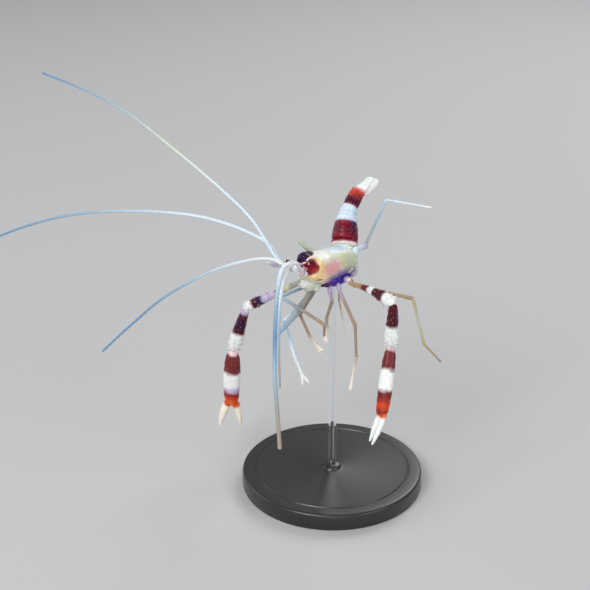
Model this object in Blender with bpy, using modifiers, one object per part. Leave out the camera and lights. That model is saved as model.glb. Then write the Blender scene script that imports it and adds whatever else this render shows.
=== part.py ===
"""A banded coral shrimp (Stenopus hispidus), a cleaner shrimp, as a life-size model.

The shrimp hovers over a plain round stand: its tail is raised, its legs hang and its six
long feelers are spread.  The frame has its origin at the centre of the stand's underside,
+Z up, with the shrimp's head toward -Y and its left side toward +X.  Lengths are in metres.
A direction is given as a bearing, in degrees from straight ahead and positive to the
shrimp's left, and a rise, in degrees above level.
"""

import math

import bmesh
import bpy
from mathutils import Vector

MM = 0.001
GAP = 0.3 * MM                     # clearance between neighbouring pieces

# The stand
BASE_RADIUS = 26.0 * MM
BASE_HEIGHT = 5.0 * MM
BASE_BEVEL = 0.8 * MM
ROD_RADIUS = 1.1 * MM

# The body: every body point is given in millimetres from the hub, the carapace's middle
HUB = Vector((0.0, -2.5, 70.0)) * MM
# Stations of the carapace from the rostrum's tip back: y, half width, top, bottom
CARAPACE = (
    (-14.5, 0.12, 5.25, 5.05),
    (-13.0, 0.30, 4.85, 4.25),
    (-11.8, 0.55, 4.35, 3.40),
    (-11.1, 0.90, 3.95, 2.50),
    (-10.7, 2.05, 3.60, 0.30),
    (-10.1, 2.80, 3.65, -1.30),
    (-8.9, 3.40, 3.85, -3.60),
    (-5.0, 4.10, 4.50, -4.35),
    (-2.0, 4.40, 4.70, -4.10),
    (2.0, 4.50, 4.70, -3.90),
    (4.5, 4.30, 4.40, -3.60),
    (6.2, 4.00, 4.00, -3.00),
)
ARCH_WIDTH, ARCH_HEIGHT = 0.72, 1.5     # the hollow between the carapace's two lower margins
REAR_LEAN = 0.3                         # the rear margin lies further forward on the back
# Stations of the thorax floor and of the mouthparts: y, half width, top, bottom
THORAX = (
    (-3.4, 1.3, -4.0, -5.2),
    (-2.0, 1.8, -4.1, -5.8),
    (1.0, 2.3, -4.1, -6.4),
    (4.0, 2.6, -3.95, -6.6),
    (6.4, 2.3, -3.9, -5.9),
    (7.2, 1.8, -3.9, -5.0),
)
MOUTHPARTS = (
    (-8.6, 0.9, -3.5, -4.1),
    (-7.5, 1.5, -3.6, -4.8),
    (-4.8, 1.5, -3.7, -5.0),
    (-3.9, 1.1, -3.9, -4.8),
)

# The abdomen: length, bearing and rise of each somite, then its tail fan
ABDOMEN_START, ABDOMEN_HEADING = (-1.6, 7.2, 0.5), (-172, 8)
SOMITES = (
    (1.8, -156, 26),
    (2.4, -138, 50),
    (5.3, -142, 51),
    (2.7, -151, 45),
    (2.4, -158, 41),
    (5.6, -168, 36),
)
SOMITE_HALF_WIDTHS = (3.5, 3.60, 3.72, 3.10, 2.45, 2.05, 1.95)
SOMITE_HALF_HEIGHTS = (3.1, 3.2, 3.3, 2.9, 2.5, 2.1, 1.5)
SWIMMERET = (2.1, 0.65, 0.35)      # length, half width and half thickness
TAIL_BEARING, TAIL_RISE = -172, 20
TELSON_LENGTH = 6.5
TELSON_HALF_WIDTHS = (1.80, 1.70, 1.40, 1.05, 0.50)
TELSON_HALF_HEIGHTS = (0.55, 0.45, 0.38, 0.32, 0.28)
UROPOD_OUTLINE = (0.80, 1.00, 1.00, 0.90, 0.50)
# Each side of the fan: name, length, half width, spread, start aside and start below
UROPODS = (
    ("inner", 6.6, 0.82, 4, 1.80, 0.90),
    ("outer", 6.8, 0.98, 6, 2.15, 1.65),
)
FAN_HALF_THICKNESS = 0.3

# The head's pieces: start, end and radii, on the left side
EYE_CENTRE, EYE_RADIUS = (2.4, -13.2, 4.3), 0.72
EYESTALK_START, EYESTALK_RADIUS = (1.8, -11.2, 3.0), 0.45
ANTENNULE = ((0.75, -11.4, 1.7), (0.9, -15.4, 4.5), 0.55, 0.50)
ANTENNA = ((2.0, -11.3, 0.7), (2.6, -14.5, 2.9), 0.75, 0.62)
SCALE_START, SCALE_END = (3.6, -11.6, 1.5), (5.5, -17.8, 4.6)
SCALE_HALF_WIDTHS = (0.5, 0.8, 1.1, 1.1, 0.9, 0.45)

# The feelers: each one's route, its radius at the root and its radius at the tip
FEELERS = {
    "antennule_right_upper": (((-1.5, -15.9, 5.0), (-3.9, -16.6, 6.9), (-11.6, -17.3, 14.9),
                               (-21.5, -19.6, 21.9), (-35.2, -23.2, 30.1),
                               (-50.4, -26.9, 37.9), (-64.5, -31.6, 42.8),
                               (-76.3, -35.5, 45.4)), 0.42, 0.26),
    "antennule_right_lower": (((-0.7, -16.2, 4.9), (-3.6, -18.9, 6.6), (-6.3, -25.0, 7.0),
                               (-9.2, -34.8, 6.0), (-12.0, -48.0, 2.3), (-13.3, -58.8, -2.7),
                               (-14.2, -67.4, -7.3)), 0.42, 0.26),
    "antennule_left_upper": (((1.3, -16.1, 4.9), (2.4, -18.3, 4.4), (4.0, -21.6, 1.4),
                              (5.4, -24.1, -2.2), (7.0, -26.4, -8.1), (9.2, -28.9, -15.2)),
                             0.40, 0.26),
    "antennule_left_lower": (((0.8, -15.7, 3.6), (1.1, -17.8, 1.2), (2.2, -20.5, -5.9),
                              (3.9, -22.6, -16.4), (5.8, -24.2, -26.6)), 0.40, 0.26),
    "antenna_right": (((-3.0, -14.9, 3.6), (-4.9, -15.0, 6.3), (-8.1, -15.9, 9.4),
                       (-18.0, -19.4, 12.2), (-29.3, -23.7, 13.1), (-43.8, -31.0, 12.2),
                       (-58.8, -38.6, 9.3), (-72.3, -46.2, 4.2), (-84.6, -55.3, -2.9),
                       (-93.8, -63.6, -11.0), (-99.7, -70.9, -20.1)), 0.50, 0.26),
    "antenna_left": (((2.7, -14.9, 3.6), (2.4, -17.2, 6.4), (3.9, -21.8, 6.0),
                      (9.2, -28.5, 2.0), (15.1, -35.0, -5.0), (20.7, -40.5, -12.3),
                      (26.1, -44.8, -19.9), (29.9, -47.9, -25.6)), 0.60, 0.50),
}
FEELER_STEP = 3.5                  # distance between a feeler's cross-sections
TWO_LENGTH_FEELERS = ("antenna_right", "antenna_left")

# The thin legs: start, (length, bearing, rise) of each article, and how many are above the knee
LEGS = {
    "maxilliped_left": ((1.3, -5.4, -5.6), ((5.0, -14, 3), (4.2, 168, -30)), 2),
    "maxilliped_right": ((-1.6, -4.6, -5.7), ((8.0, 8, -42), (5.6, -18, -40),
                                              (3.2, 2, -22), (3.2, 33, -52)), 4),
    "leg1_left": ((2.1, -1.4, -6.3), ((3.8, 158, -80), (6.5, 30, -21), (4.0, -146, -63),
                                      (2.6, 33, -41)), 2),
    "leg1_right": ((-2.2, -1.6, -6.2), ((3.2, -8, -50), (7.0, 12, -30), (7.0, 115, -65),
                                        (3.6, 118, -50)), 2),
    "leg2_left": ((3.2, 0.9, -5.3), ((1.8, 60, -50), (11.0, 72, -36), (9.5, 160, -87),
                                     (6.6, 24, -60)), 2),
    "leg2_right": ((-3.15, 0.7, -5.6), ((1.8, -10, -60), (13.8, -13, -35), (11.0, 67, -42),
                                       (5.0, 85, -54)), 2),
    "leg4_left": ((3.1, 5.2, -5.0), ((2.0, 90, -35), (19.0, 100, 3), (13.4, 109, -74),
                                     (7.5, 150, -50)), 2),
    "leg4_right": ((-3.2, 5.3, -5.4), ((3.0, -78, -38), (18.9, 4, 3), (15.0, 100, -17),
                                       (4.5, -134, -64)), 2),
    "leg5_left": ((2.4, 7.2, -4.3), ((1.36, 170.5, 26.3), (5.91, 108.4, 86.9),
                                     (7.24, -155.2, -8.4), (14.5, 144, 67), (12.5, 126, -7)), 3),
    "leg5_right": ((-2.8, 7.2, -4.1), ((2.2, -100, 0), (15.0, -95, 10), (17.0, 106, -45),
                                       (12.7, 70, -63)), 2),
}
# Radii at the root, above the knee, below the knee and at the tip
LEG_RADII = {"maxilliped": (0.75, 0.55, 0.55, 0.38), "leg1": (0.60, 0.48, 0.48, 0.34),
             "leg2": (0.65, 0.54, 0.48, 0.36), "leg4": (0.75, 0.52, 0.46, 0.28),
             "leg5": (0.80, 0.68, 0.46, 0.28)}
# Small pincers of legs 1 and 2: length in mm and how far each tip opens in degrees
PINCERS = {"leg1_left": (1.8, 17), "leg1_right": (1.8, 19), "leg2_left": (2.8, 12),
           "leg2_right": (3.0, 19)}
TIP_RADIUS = 0.27

# The great claws on legs 3: start, then length, bearing and rise of the arm's root and blade,
# the wrist, the palm and the fingers, how far the fingers open, how stout the palm is, and the
# fingers' distance from the middle and stoutness
CLAWS = {
    "left": ((3.0, 3.2, -4.6), (2.5, 85, 0), (20.5, 77, 6), (13.7, -132, -81),
             (19.2, 27.5, -63.4), (7.9, 5, -53), 0, 0.96, 0.70, 0.62),
    "right": ((-3.0, 3.2, -4.6), (2.5, -80, -5), (24.5, -54.5, -30.2), (15.0, -67, -73),
              (18.0, -93, -86), (8.0, -93, -86), 13, 1.22, 1.25, 1.28),
}
CLAW_FACING = 45                   # bearing that the flat of each claw faces
ARM_RADII = {"left": (0.80, 0.62, 0.68, 0.90, 1.20, 1.60, 1.55),
             "right": (0.75, 0.60, 0.66, 0.78, 0.90, 1.30, 1.45)}
WRIST_RADII = (1.00, 1.26, 1.45, 1.65, 1.90, 1.90, 1.40)
PALM_HALF_WIDTHS = (1.10, 1.70, 1.90, 2.05, 2.00, 1.85, 1.60)
CLAW_FLATNESS = 0.78

COLLECTION_NAME = "banded_coral_shrimp"


# Scene and materials

def clear_scene():
    """Remove what the file opens with and return the two collections that are used."""
    for item in list(bpy.data.objects):
        bpy.data.objects.remove(item, do_unlink=True)
    collections = []
    for name in (COLLECTION_NAME, "cutters"):
        collection = bpy.data.collections.new(name)
        bpy.context.scene.collection.children.link(collection)
        collections.append(collection)
    return collections


PARTS, CUTTERS = clear_scene()


def finish(name, colour, roughness=0.35, metallic=0.0):
    """A Principled material of one colour."""
    material = bpy.data.materials.new(name)
    material.use_nodes = True
    shader = material.node_tree.nodes["Principled BSDF"]
    shader.inputs["Base Color"].default_value = (*colour, 1.0)
    shader.inputs["Roughness"].default_value = roughness
    shader.inputs["Metallic"].default_value = metallic
    return material


WHITE_SHELL = finish("white_shell", (0.80, 0.81, 0.78))
CLEAR_SHELL = finish("clear_shell", (0.62, 0.66, 0.56))
RED_SHELL = finish("red_shell", (0.36, 0.02, 0.03))
TAIL_SHELL = finish("tail_shell", (0.78, 0.80, 0.82))
VIOLET_SKIN = finish("violet_skin", (0.16, 0.10, 0.42), 0.5)
PALE_LEG = finish("pale_leg", (0.55, 0.66, 0.68), 0.4)
TAN_LEG = finish("tan_leg", (0.58, 0.47, 0.33), 0.4)
FEELER_WHITE = finish("feeler_white", (0.72, 0.82, 0.88), 0.4)
EYE_DARK = finish("eye_dark", (0.02, 0.02, 0.03), 0.15)
BASE_BLACK = finish("base_black", (0.02, 0.02, 0.022), 0.45)
ROD_CLEAR = finish("rod_clear", (0.75, 0.80, 0.82), 0.1)


# Directions and routes

X_AXIS, UP = Vector((1, 0, 0)), Vector((0, 0, 1))


def at(point, side=1):
    """A body point, in millimetres from the hub, in the frame; side -1 mirrors it."""
    x, y, z = point
    return HUB + Vector((side * x, y, z)) * MM


def heading(bearing, rise):
    """Unit vector of a bearing and a rise."""
    turn, climb = math.radians(bearing), math.radians(rise)
    level = math.cos(climb)
    return Vector((math.sin(turn) * level, -math.cos(turn) * level, math.sin(climb)))


def chain(start, segments):
    """Joint points of a limb whose segments each have a length, a bearing and a rise."""
    points = [start]
    for length, bearing, rise in segments:
        points.append(points[-1] + heading(bearing, rise) * length * MM)
    return points


def smooth_route(points, step):
    """Evenly spaced points along a Catmull-Rom curve through the given points."""
    ends = [points[0] * 2 - points[1], *points, points[-1] * 2 - points[-2]]
    fine = [points[0]]
    for a, b, c, d in zip(ends, ends[1:], ends[2:], ends[3:]):
        for part in range(1, 17):
            t = part / 16
            fine.append(0.5 * (2 * b + (c - a) * t + (2 * a - 5 * b + 4 * c - d) * t ** 2
                               + (3 * b - a - 3 * c + d) * t ** 3))
    lengths = [0.0]
    for a, b in zip(fine, fine[1:]):
        lengths.append(lengths[-1] + (b - a).length)
    count = max(2, round(lengths[-1] / step))
    route, index = [], 0
    for number in range(count + 1):
        wanted = lengths[-1] * number / count
        while index < len(fine) - 2 and lengths[index + 1] < wanted:
            index += 1
        share = (wanted - lengths[index]) / (lengths[index + 1] - lengths[index])
        route.append(fine[index].lerp(fine[index + 1], share))
    return route


def tapered(first, last, count):
    """Evenly changing values from the first to the last."""
    return [first + (last - first) * i / (count - 1) for i in range(count)]


# Solids

def add_mesh(name, mesh, material, collection=None):
    """Put a finished mesh in the model as a smooth-shaded object."""
    item = bpy.data.objects.new(name, mesh)
    (collection or PARTS).objects.link(item)
    mesh.materials.append(material)
    mesh.shade_smooth()
    mesh.set_sharp_from_angle(angle=math.radians(50))
    return item


def loft(name, rings, material, collection=None):
    """A closed solid through rings that have the same number of points."""
    form = bmesh.new()
    loops = [[form.verts.new(point) for point in ring] for ring in rings]
    count = len(loops[0])
    for lower, upper in zip(loops, loops[1:]):
        for i in range(count):
            j = (i + 1) % count
            form.faces.new((lower[i], lower[j], upper[j], upper[i]))
    form.faces.new(loops[0])
    form.faces.new(loops[-1])
    bmesh.ops.recalc_face_normals(form, faces=form.faces)
    mesh = bpy.data.meshes.new(name)
    form.to_mesh(mesh)
    form.free()
    return add_mesh(name, mesh, material, collection)


def oval(centre, wide, tall, half_width, half_height, sides, squareness=2.0):
    """Points of a superellipse in the plane of the two unit vectors."""
    points = []
    for i in range(sides):
        turn = 2 * math.pi * i / sides
        c, s = math.cos(turn), math.sin(turn)
        across = math.copysign(abs(c) ** (2 / squareness), c) * half_width
        over = math.copysign(abs(s) ** (2 / squareness), s) * half_height
        points.append(centre + wide * across + tall * over)
    return points


def sweep(name, points, half_widths, half_heights, wide, material, sides=10, collection=None):
    """A solid along a route, with an oval of its own at each point."""
    rings = []
    last = len(points) - 1
    for i, point in enumerate(points):
        along = (points[min(i + 1, last)] - points[max(i - 1, 0)]).normalized()
        tall = along.cross(wide).normalized()
        across = tall.cross(along)
        rings.append(oval(point, across, tall, half_widths[i] * MM, half_heights[i] * MM, sides))
    return loft(name, rings, material, collection)


def tube(name, points, radii, material):
    """A round tube with filled caps along straight runs between the points."""
    curve = bpy.data.curves.new(name, "CURVE")
    curve.dimensions = "3D"
    curve.bevel_depth = max(radii) * MM
    curve.bevel_resolution = 1
    curve.use_fill_caps = True
    spline = curve.splines.new("POLY")
    spline.points.add(len(points) - 1)
    for knot, point, radius in zip(spline.points, points, radii):
        knot.co = (*point, 1.0)
        knot.radius = radius / max(radii)
    item = bpy.data.objects.new(name, curve)
    PARTS.objects.link(item)
    curve.materials.append(material)
    return item


def as_mesh(item, material):
    """Turn a tube into a mesh object with welded caps, so that it can be joined."""
    depsgraph = bpy.context.evaluated_depsgraph_get()
    mesh = bpy.data.meshes.new_from_object(item.evaluated_get(depsgraph))
    form = bmesh.new()
    form.from_mesh(mesh)
    bmesh.ops.remove_doubles(form, verts=form.verts, dist=0.001 * MM)
    bmesh.ops.recalc_face_normals(form, faces=form.faces)
    form.to_mesh(mesh)
    form.free()
    name = item.name
    bpy.data.objects.remove(item, do_unlink=True)
    mesh.materials.clear()
    return add_mesh(name, mesh, material)


def join_to(body, piece):
    """Join a piece to the body it grows from, and keep the piece as a hidden tool."""
    for collection in list(piece.users_collection):
        collection.objects.unlink(piece)
    CUTTERS.objects.link(piece)
    piece.hide_render = True
    piece.display_type = "WIRE"
    union = body.modifiers.new("join_" + piece.name, "BOOLEAN")
    union.operation = "UNION"
    union.solver = "EXACT"
    union.object = piece


# The stand

def build_stand():
    """A bevelled round base and the rod that carries the shrimp under its thorax."""
    bpy.ops.mesh.primitive_cylinder_add(vertices=48, radius=BASE_RADIUS, depth=BASE_HEIGHT,
                                        location=(0, 0, BASE_HEIGHT / 2))
    base = bpy.context.object
    base.name = "stand_base"
    bevel = base.modifiers.new("edge", "BEVEL")
    bevel.width = BASE_BEVEL
    bevel.segments = 2
    base.data.materials.append(BASE_BLACK)
    foot, top = BASE_HEIGHT + GAP, HUB.z + THORAX[3][3] * MM - GAP
    bpy.ops.mesh.primitive_cylinder_add(vertices=16, radius=ROD_RADIUS, depth=top - foot,
                                        location=(0, 0, (foot + top) / 2))
    rod = bpy.context.object
    rod.name = "stand_rod"
    rod.data.materials.append(ROD_CLEAR)
    for item in (base, rod):
        item.data.shade_smooth()
        item.data.set_sharp_from_angle(angle=math.radians(40))
        for collection in list(item.users_collection):
            collection.objects.unlink(item)
        PARTS.objects.link(item)


# The body

def build_carapace():
    """The shield over head and thorax, open below and drawn out in front into the rostrum."""
    rings = []
    for number, (y, half_width, top, bottom) in enumerate(CARAPACE):
        middle, half_height = (top + bottom) / 2, (top - bottom) / 2
        ring = oval(Vector((0, y, middle)), X_AXIS, UP, half_width, half_height, 20, 2.25)
        for point in ring:
            inside = 1 - (point.x / (half_width * ARCH_WIDTH)) ** 2
            if number > 4 and point.z < middle and inside > 0:
                point.z += ARCH_HEIGHT * inside
            if number == len(CARAPACE) - 1:
                point.y -= REAR_LEAN * (point.z - middle)
        rings.append([at(point) for point in ring])
    loft("carapace", rings, CLEAR_SHELL)


def build_under_body():
    """The thorax floor that carries the legs, and the mouthparts in front of it."""
    for name, stations, material in (("thorax", THORAX, VIOLET_SKIN),
                                     ("mouthparts", MOUTHPARTS, WHITE_SHELL)):
        rings = []
        for y, half_width, top, bottom in stations:
            centre = at((0, y, (top + bottom) / 2))
            half_height = (top - bottom) / 2 * MM
            rings.append(oval(centre, X_AXIS, UP, half_width * MM, half_height, 12, 3.0))
        loft(name, rings, material)


def abdomen_stations(per_somite):
    """Points and headings down the abdomen, turning evenly from somite to somite."""
    point = at(ABDOMEN_START)
    bends = [(0, *ABDOMEN_HEADING), *SOMITES, (0, TAIL_BEARING, TAIL_RISE)]
    stations = []
    for number, (length, bearing, rise) in enumerate(SOMITES):
        before, after = bends[number], bends[number + 2]
        run = []
        for part in range(per_somite + 1):
            share = part / per_somite - 0.5
            other = after if share > 0 else before
            turn = bearing + (other[1] - bearing) * abs(share)
            climb = rise + (other[2] - rise) * abs(share)
            along = heading(turn, climb)
            run.append((point.copy(), along))
            if part < per_somite:
                point = point + along * length * MM / per_somite
        stations.append(run)
    return stations, point


def build_abdomen():
    """Six somites, each with a pair of swimmerets but the last."""
    stations, end = abdomen_stations(4)
    for number, run in enumerate(stations):
        name = f"abdomen_{number + 1}"
        length = SOMITES[number][0] * MM
        rings = []
        for index, (point, along) in enumerate(run):
            share = index / (len(run) - 1)
            half_width = SOMITE_HALF_WIDTHS[number] * (1 - share)
            half_width += SOMITE_HALF_WIDTHS[number + 1] * share
            half_height = SOMITE_HALF_HEIGHTS[number] * (1 - share)
            half_height += SOMITE_HALF_HEIGHTS[number + 1] * share
            swell = 0.95 + 0.07 * math.sin(math.pi * (0.15 + 0.7 * share))
            inset = (0.5 - share) * GAP
            across = along.cross(UP).normalized()
            tall = across.cross(along)
            rings.append(oval(point + along * inset, across, tall, half_width * swell * MM,
                              half_height * swell * MM, 16, 2.2))
        material = RED_SHELL if number in (2, 5) else WHITE_SHELL
        somite = loft(name, rings, material)
        if number == 5:
            continue
        point, along = run[len(run) // 2]
        across = along.cross(UP).normalized()
        tall = across.cross(along)
        reach, half_width, half_thickness = SWIMMERET
        reach *= SOMITE_HALF_WIDTHS[number] / SOMITE_HALF_WIDTHS[0]
        for side in (1, -1):
            root = point + across * side * 1.0 * MM - tall * half_height_at(number) * 0.75
            tip = root + (along * 0.40 - tall * 0.90) * reach * MM
            points = [root.lerp(tip, share) for share in (0.0, 0.4, 0.75, 1.0)]
            paddle = sweep(f"swimmeret_{number + 1}_{'left' if side > 0 else 'right'}", points,
                           (half_width * 0.6, half_width, half_width, half_width * 0.4),
                           (half_thickness * 1.2, half_thickness, half_thickness, 0.2),
                           across, material, 8, CUTTERS)
            join_to(somite, paddle)
    return end


def half_height_at(number):
    """Half height in the middle of a somite."""
    return (SOMITE_HALF_HEIGHTS[number] + SOMITE_HALF_HEIGHTS[number + 1]) / 2 * MM


def build_tail_fan(root):
    """The telson over two pairs of uropods."""
    along = heading(TAIL_BEARING, TAIL_RISE)
    across = along.cross(UP).normalized()
    tall = across.cross(along)
    start = root + along * GAP * 1.5
    shares = (0.0, 0.25, 0.5, 0.75, 1.0)
    points = [start + along * TELSON_LENGTH * MM * share for share in shares]
    sweep("telson", points, TELSON_HALF_WIDTHS, TELSON_HALF_HEIGHTS, across, TAIL_SHELL, 10)
    for side, word in ((1, "left"), (-1, "right")):
        for name, length, half_width, spread, aside, below in UROPODS:
            blade = heading(TAIL_BEARING - spread * side, TAIL_RISE)
            origin = start + across * side * aside * 0.5 * MM - tall * below * MM
            points = [origin + blade * length * MM * share for share in (0, 0.2, 0.5, 0.8, 1)]
            widths = [half_width * part for part in UROPOD_OUTLINE]
            sweep(f"uropod_{word}_{name}", points, widths, [FAN_HALF_THICKNESS] * 5, across,
                  TAIL_SHELL, 8)


# The head

def build_eye(side, word):
    """A round eye joined to its short stalk."""
    bpy.ops.mesh.primitive_uv_sphere_add(segments=14, ring_count=9, radius=EYE_RADIUS * MM,
                                         location=at(EYE_CENTRE, side))
    eye = bpy.context.object
    eye.name = f"eye_{word}"
    eye.data.materials.append(EYE_DARK)
    eye.data.shade_smooth()
    for collection in list(eye.users_collection):
        collection.objects.unlink(eye)
    PARTS.objects.link(eye)
    points = [at(EYESTALK_START, side), at(EYE_CENTRE, side)]
    radii = (EYESTALK_RADIUS, EYESTALK_RADIUS)
    stalk = sweep(f"eyestalk_{word}", points, radii, radii, X_AXIS, WHITE_SHELL, 8,
                  CUTTERS)
    join_to(eye, stalk)


def build_head(side, word):
    """Eye, antennule and antenna stems and the antenna's scale, on one side."""
    build_eye(side, word)
    for name, (start, end, root_radius, end_radius) in (("antennule", ANTENNULE),
                                                        ("antenna", ANTENNA)):
        points = [at(start, side).lerp(at(end, side), i / 3) for i in range(4)]
        radii = tapered(root_radius, end_radius, 4)
        sweep(f"{name}_{word}", points, radii, radii, X_AXIS, WHITE_SHELL, 8)
    first, last = at(SCALE_START, side), at(SCALE_END, side)
    count = len(SCALE_HALF_WIDTHS)
    points = [first.lerp(last, i / (count - 1)) for i in range(count)]
    slope = Vector((-side, 0, 1)).normalized()
    sweep(f"antenna_{word}_scale", points, SCALE_HALF_WIDTHS, [FAN_HALF_THICKNESS] * count,
          slope, TAIL_SHELL, 8)


def build_feelers():
    """Six whips, the two longest each in a near and a far length."""
    for name, (knots, root_radius, tip_radius) in FEELERS.items():
        route = smooth_route([at(knot) for knot in knots], FEELER_STEP * MM)
        radii = tapered(root_radius, tip_radius, len(route))
        if name not in TWO_LENGTH_FEELERS:
            tube(f"{name}_whip", route, radii, FEELER_WHITE)
            continue
        half = len(route) // 2
        near, far = route[:half + 1], route[half:]
        step_back = (near[-2] - near[-1]).normalized() * GAP
        near = near[:-1] + [near[-1] + step_back]
        tube(f"{name}_whip_near", near, radii[:half + 1], FEELER_WHITE)
        tube(f"{name}_whip_far", far, radii[half:], FEELER_WHITE)


# The legs

def shortened(points, first_cut, last_cut):
    """The same run with a little taken off its two ends."""
    head = (points[1] - points[0]).normalized() * first_cut
    tail = (points[-2] - points[-1]).normalized() * last_cut
    return [points[0] + head, *points[1:-1], points[-1] + tail]


def knee_cut(before, knee, after, radius):
    """How far each side of a bent joint stops short, so that the two sides stay clear."""
    bend = (knee - before).angle(after - knee)
    return radius * MM * math.tan(min(bend, math.radians(125)) / 2) + GAP * 0.55


def pincer(name, points, radii, material):
    """A lower leg that ends in a small pincer of two tips."""
    along = (points[-1] - points[-2]).normalized()
    aside = along.cross(heading(CLAW_FACING, 0)).normalized()
    length, opening = PINCERS[name.removesuffix("_lower")]
    across = aside * math.sin(math.radians(opening))
    ahead = along * math.cos(math.radians(opening))
    root = points[-1]
    tip = root + (ahead + across) * length * MM
    body = tube(name, [*points, tip], [*radii, TIP_RADIUS], material)
    body = as_mesh(body, material)
    root_radii = (radii[-1] * 0.8, radii[-1] * 0.9, TIP_RADIUS)
    tip = root + (ahead - across) * length * MM
    thumb = tube(f"{name}_thumb", [root - along * 0.4 * MM, root, tip], root_radii, material)
    join_to(body, as_mesh(thumb, material))


def build_leg(name, start, segments, above_knee):
    """A thin leg in two pieces that meet at the knee, or one piece without a knee."""
    points = chain(at(start), segments)
    root, above, below, tip = LEG_RADII[name.split("_")[0]]
    material = PALE_LEG if name.endswith("left") else TAN_LEG
    if above_knee == len(segments):
        tube(name, points, tapered(root, tip, len(points)), material)
        return
    knee = points[above_knee]
    cut = knee_cut(points[above_knee - 1], knee, points[above_knee + 1], (above + below) / 2)
    upper = shortened(points[:above_knee + 1], 0, cut)
    lower = shortened(points[above_knee:], cut, 0)
    tube(f"{name}_upper", upper, tapered(root, above, len(upper)), material)
    radii = tapered(below, tip, len(lower))
    if name.startswith(("leg1", "leg2")):
        pincer(f"{name}_lower", lower, radii, material)
    else:
        tube(f"{name}_lower", lower, radii, material)


def spaced(start, end, count):
    """Evenly spaced points from the start to the end."""
    return [start.lerp(end, i / (count - 1)) for i in range(count)]


def build_claw(word, start, root, blade, wrist, palm, fingers, opening, *sizes):
    """A great claw: arm, wrist, hand with its fixed finger, and the moving finger."""
    points = chain(at(start), (root, blade, wrist, palm))
    wide = UP.cross(heading(CLAW_FACING, 0)).normalized()
    elbow, hinge, knuckle = points[2], points[3], points[4]
    arm_radii = ARM_RADII[word]
    elbow_cut = knee_cut(points[1], elbow, hinge, arm_radii[-1] * 0.75)
    hinge_cut = knee_cut(elbow, hinge, knuckle, WRIST_RADII[-1] * 0.9)
    run = shortened([points[1], elbow], 0, elbow_cut)
    arm_points = [points[0], *spaced(*run, len(arm_radii) - 1)]
    sweep(f"claw_{word}_arm", arm_points, arm_radii, arm_radii, UP, RED_SHELL)
    run = shortened([elbow, hinge], elbow_cut, hinge_cut)
    sweep(f"claw_{word}_wrist", spaced(*run, len(WRIST_RADII)), WRIST_RADII, WRIST_RADII, wide,
          RED_SHELL)
    run = shortened([hinge, knuckle], hinge_cut, 0)
    side = 1 if word == "left" else -1
    build_hand(word, run, fingers, wide, side, math.radians(opening), *sizes)


def build_hand(word, run, fingers, wide, side, opening, stoutness, spacing, thickness):
    """Palm and fixed finger as one piece, with the moving finger on the inner side."""
    palm_start, knuckle = run
    length, bearing, rise = fingers
    along, reach = heading(bearing, rise), length * MM
    across = (wide - along * wide.dot(along)).normalized() * side
    fixed = along * math.cos(opening) + across * math.sin(opening)
    moving = along * math.cos(opening) - across * math.sin(opening)
    aside = across * spacing * MM
    points = spaced(palm_start, knuckle + (palm_start - knuckle).normalized() * 1.2 * MM,
                    len(PALM_HALF_WIDTHS))
    widths = [width * stoutness for width in PALM_HALF_WIDTHS]
    heights = [width * CLAW_FLATNESS for width in widths]
    points += [knuckle + aside * 0.80, knuckle + aside + fixed * reach * 0.15,
               knuckle + aside + fixed * reach * 0.6, knuckle + aside * 0.75 + fixed * reach]
    widths += [0.95 * stoutness, 0.82 * thickness, 0.72 * thickness, 0.26]
    heights += [1.20, 1.00 * thickness, 0.80 * thickness, 0.26]
    sweep(f"claw_{word}_hand", points, widths, heights, wide, WHITE_SHELL, 12)
    root = knuckle - aside * 0.98 + along * 0.3 * MM
    points = [root, root + moving * reach * 0.15, root + moving * reach * 0.55,
              root + aside * 0.25 + moving * reach * 0.92]
    widths = [width * thickness for width in (0.68, 0.78, 0.70, 0.28)]
    heights = [height * thickness for height in (0.90, 0.98, 0.78, 0.28)]
    sweep(f"claw_{word}_finger", points, widths, heights, wide, WHITE_SHELL)


def build_limbs():
    """Mouth legs, walking legs and great claws."""
    for name, (start, segments, above_knee) in LEGS.items():
        build_leg(name, start, segments, above_knee)
    for word, sizes in CLAWS.items():
        build_claw(word, *sizes)


def main():
    """Build the whole model."""
    build_stand()
    build_carapace()
    build_under_body()
    tail_root = build_abdomen()
    build_tail_fan(tail_root)
    for side, word in ((1, "left"), (-1, "right")):
        build_head(side, word)
    build_feelers()
    build_limbs()


main()
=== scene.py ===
"""Looks of the life-size banded coral shrimp on its display stand.

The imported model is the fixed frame. Finer pieces of the same size and place stand for its solids:
spiny banded shell plates, jointed legs and great claws, ringed feelers, a fringed tail fan, eyes and
the stand. Sizes and places are in millimetres, and body places count from the hub, the middle of
the carapace. -Y is forward, +X is the shrimp's left and +Z is up.
"""

import logging
import math
from dataclasses import dataclass
from enum import Enum
from typing import Callable, Iterable, Sequence

import bpy
import numpy as np
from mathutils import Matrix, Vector


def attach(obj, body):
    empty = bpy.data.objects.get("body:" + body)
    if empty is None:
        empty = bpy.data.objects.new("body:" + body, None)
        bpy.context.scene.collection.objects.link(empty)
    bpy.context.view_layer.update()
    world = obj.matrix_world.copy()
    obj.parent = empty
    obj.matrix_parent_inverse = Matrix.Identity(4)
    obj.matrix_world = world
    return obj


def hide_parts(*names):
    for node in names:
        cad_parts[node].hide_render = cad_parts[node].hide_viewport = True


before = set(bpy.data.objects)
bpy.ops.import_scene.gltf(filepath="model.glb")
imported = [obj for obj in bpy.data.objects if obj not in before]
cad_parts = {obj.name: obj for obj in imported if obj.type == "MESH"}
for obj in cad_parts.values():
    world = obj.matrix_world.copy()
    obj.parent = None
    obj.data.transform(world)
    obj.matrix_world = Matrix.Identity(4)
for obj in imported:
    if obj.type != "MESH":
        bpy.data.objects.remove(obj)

LOG = logging.getLogger("shrimp")
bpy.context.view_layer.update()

Array = np.ndarray
Pair = tuple[float, float]
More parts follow.
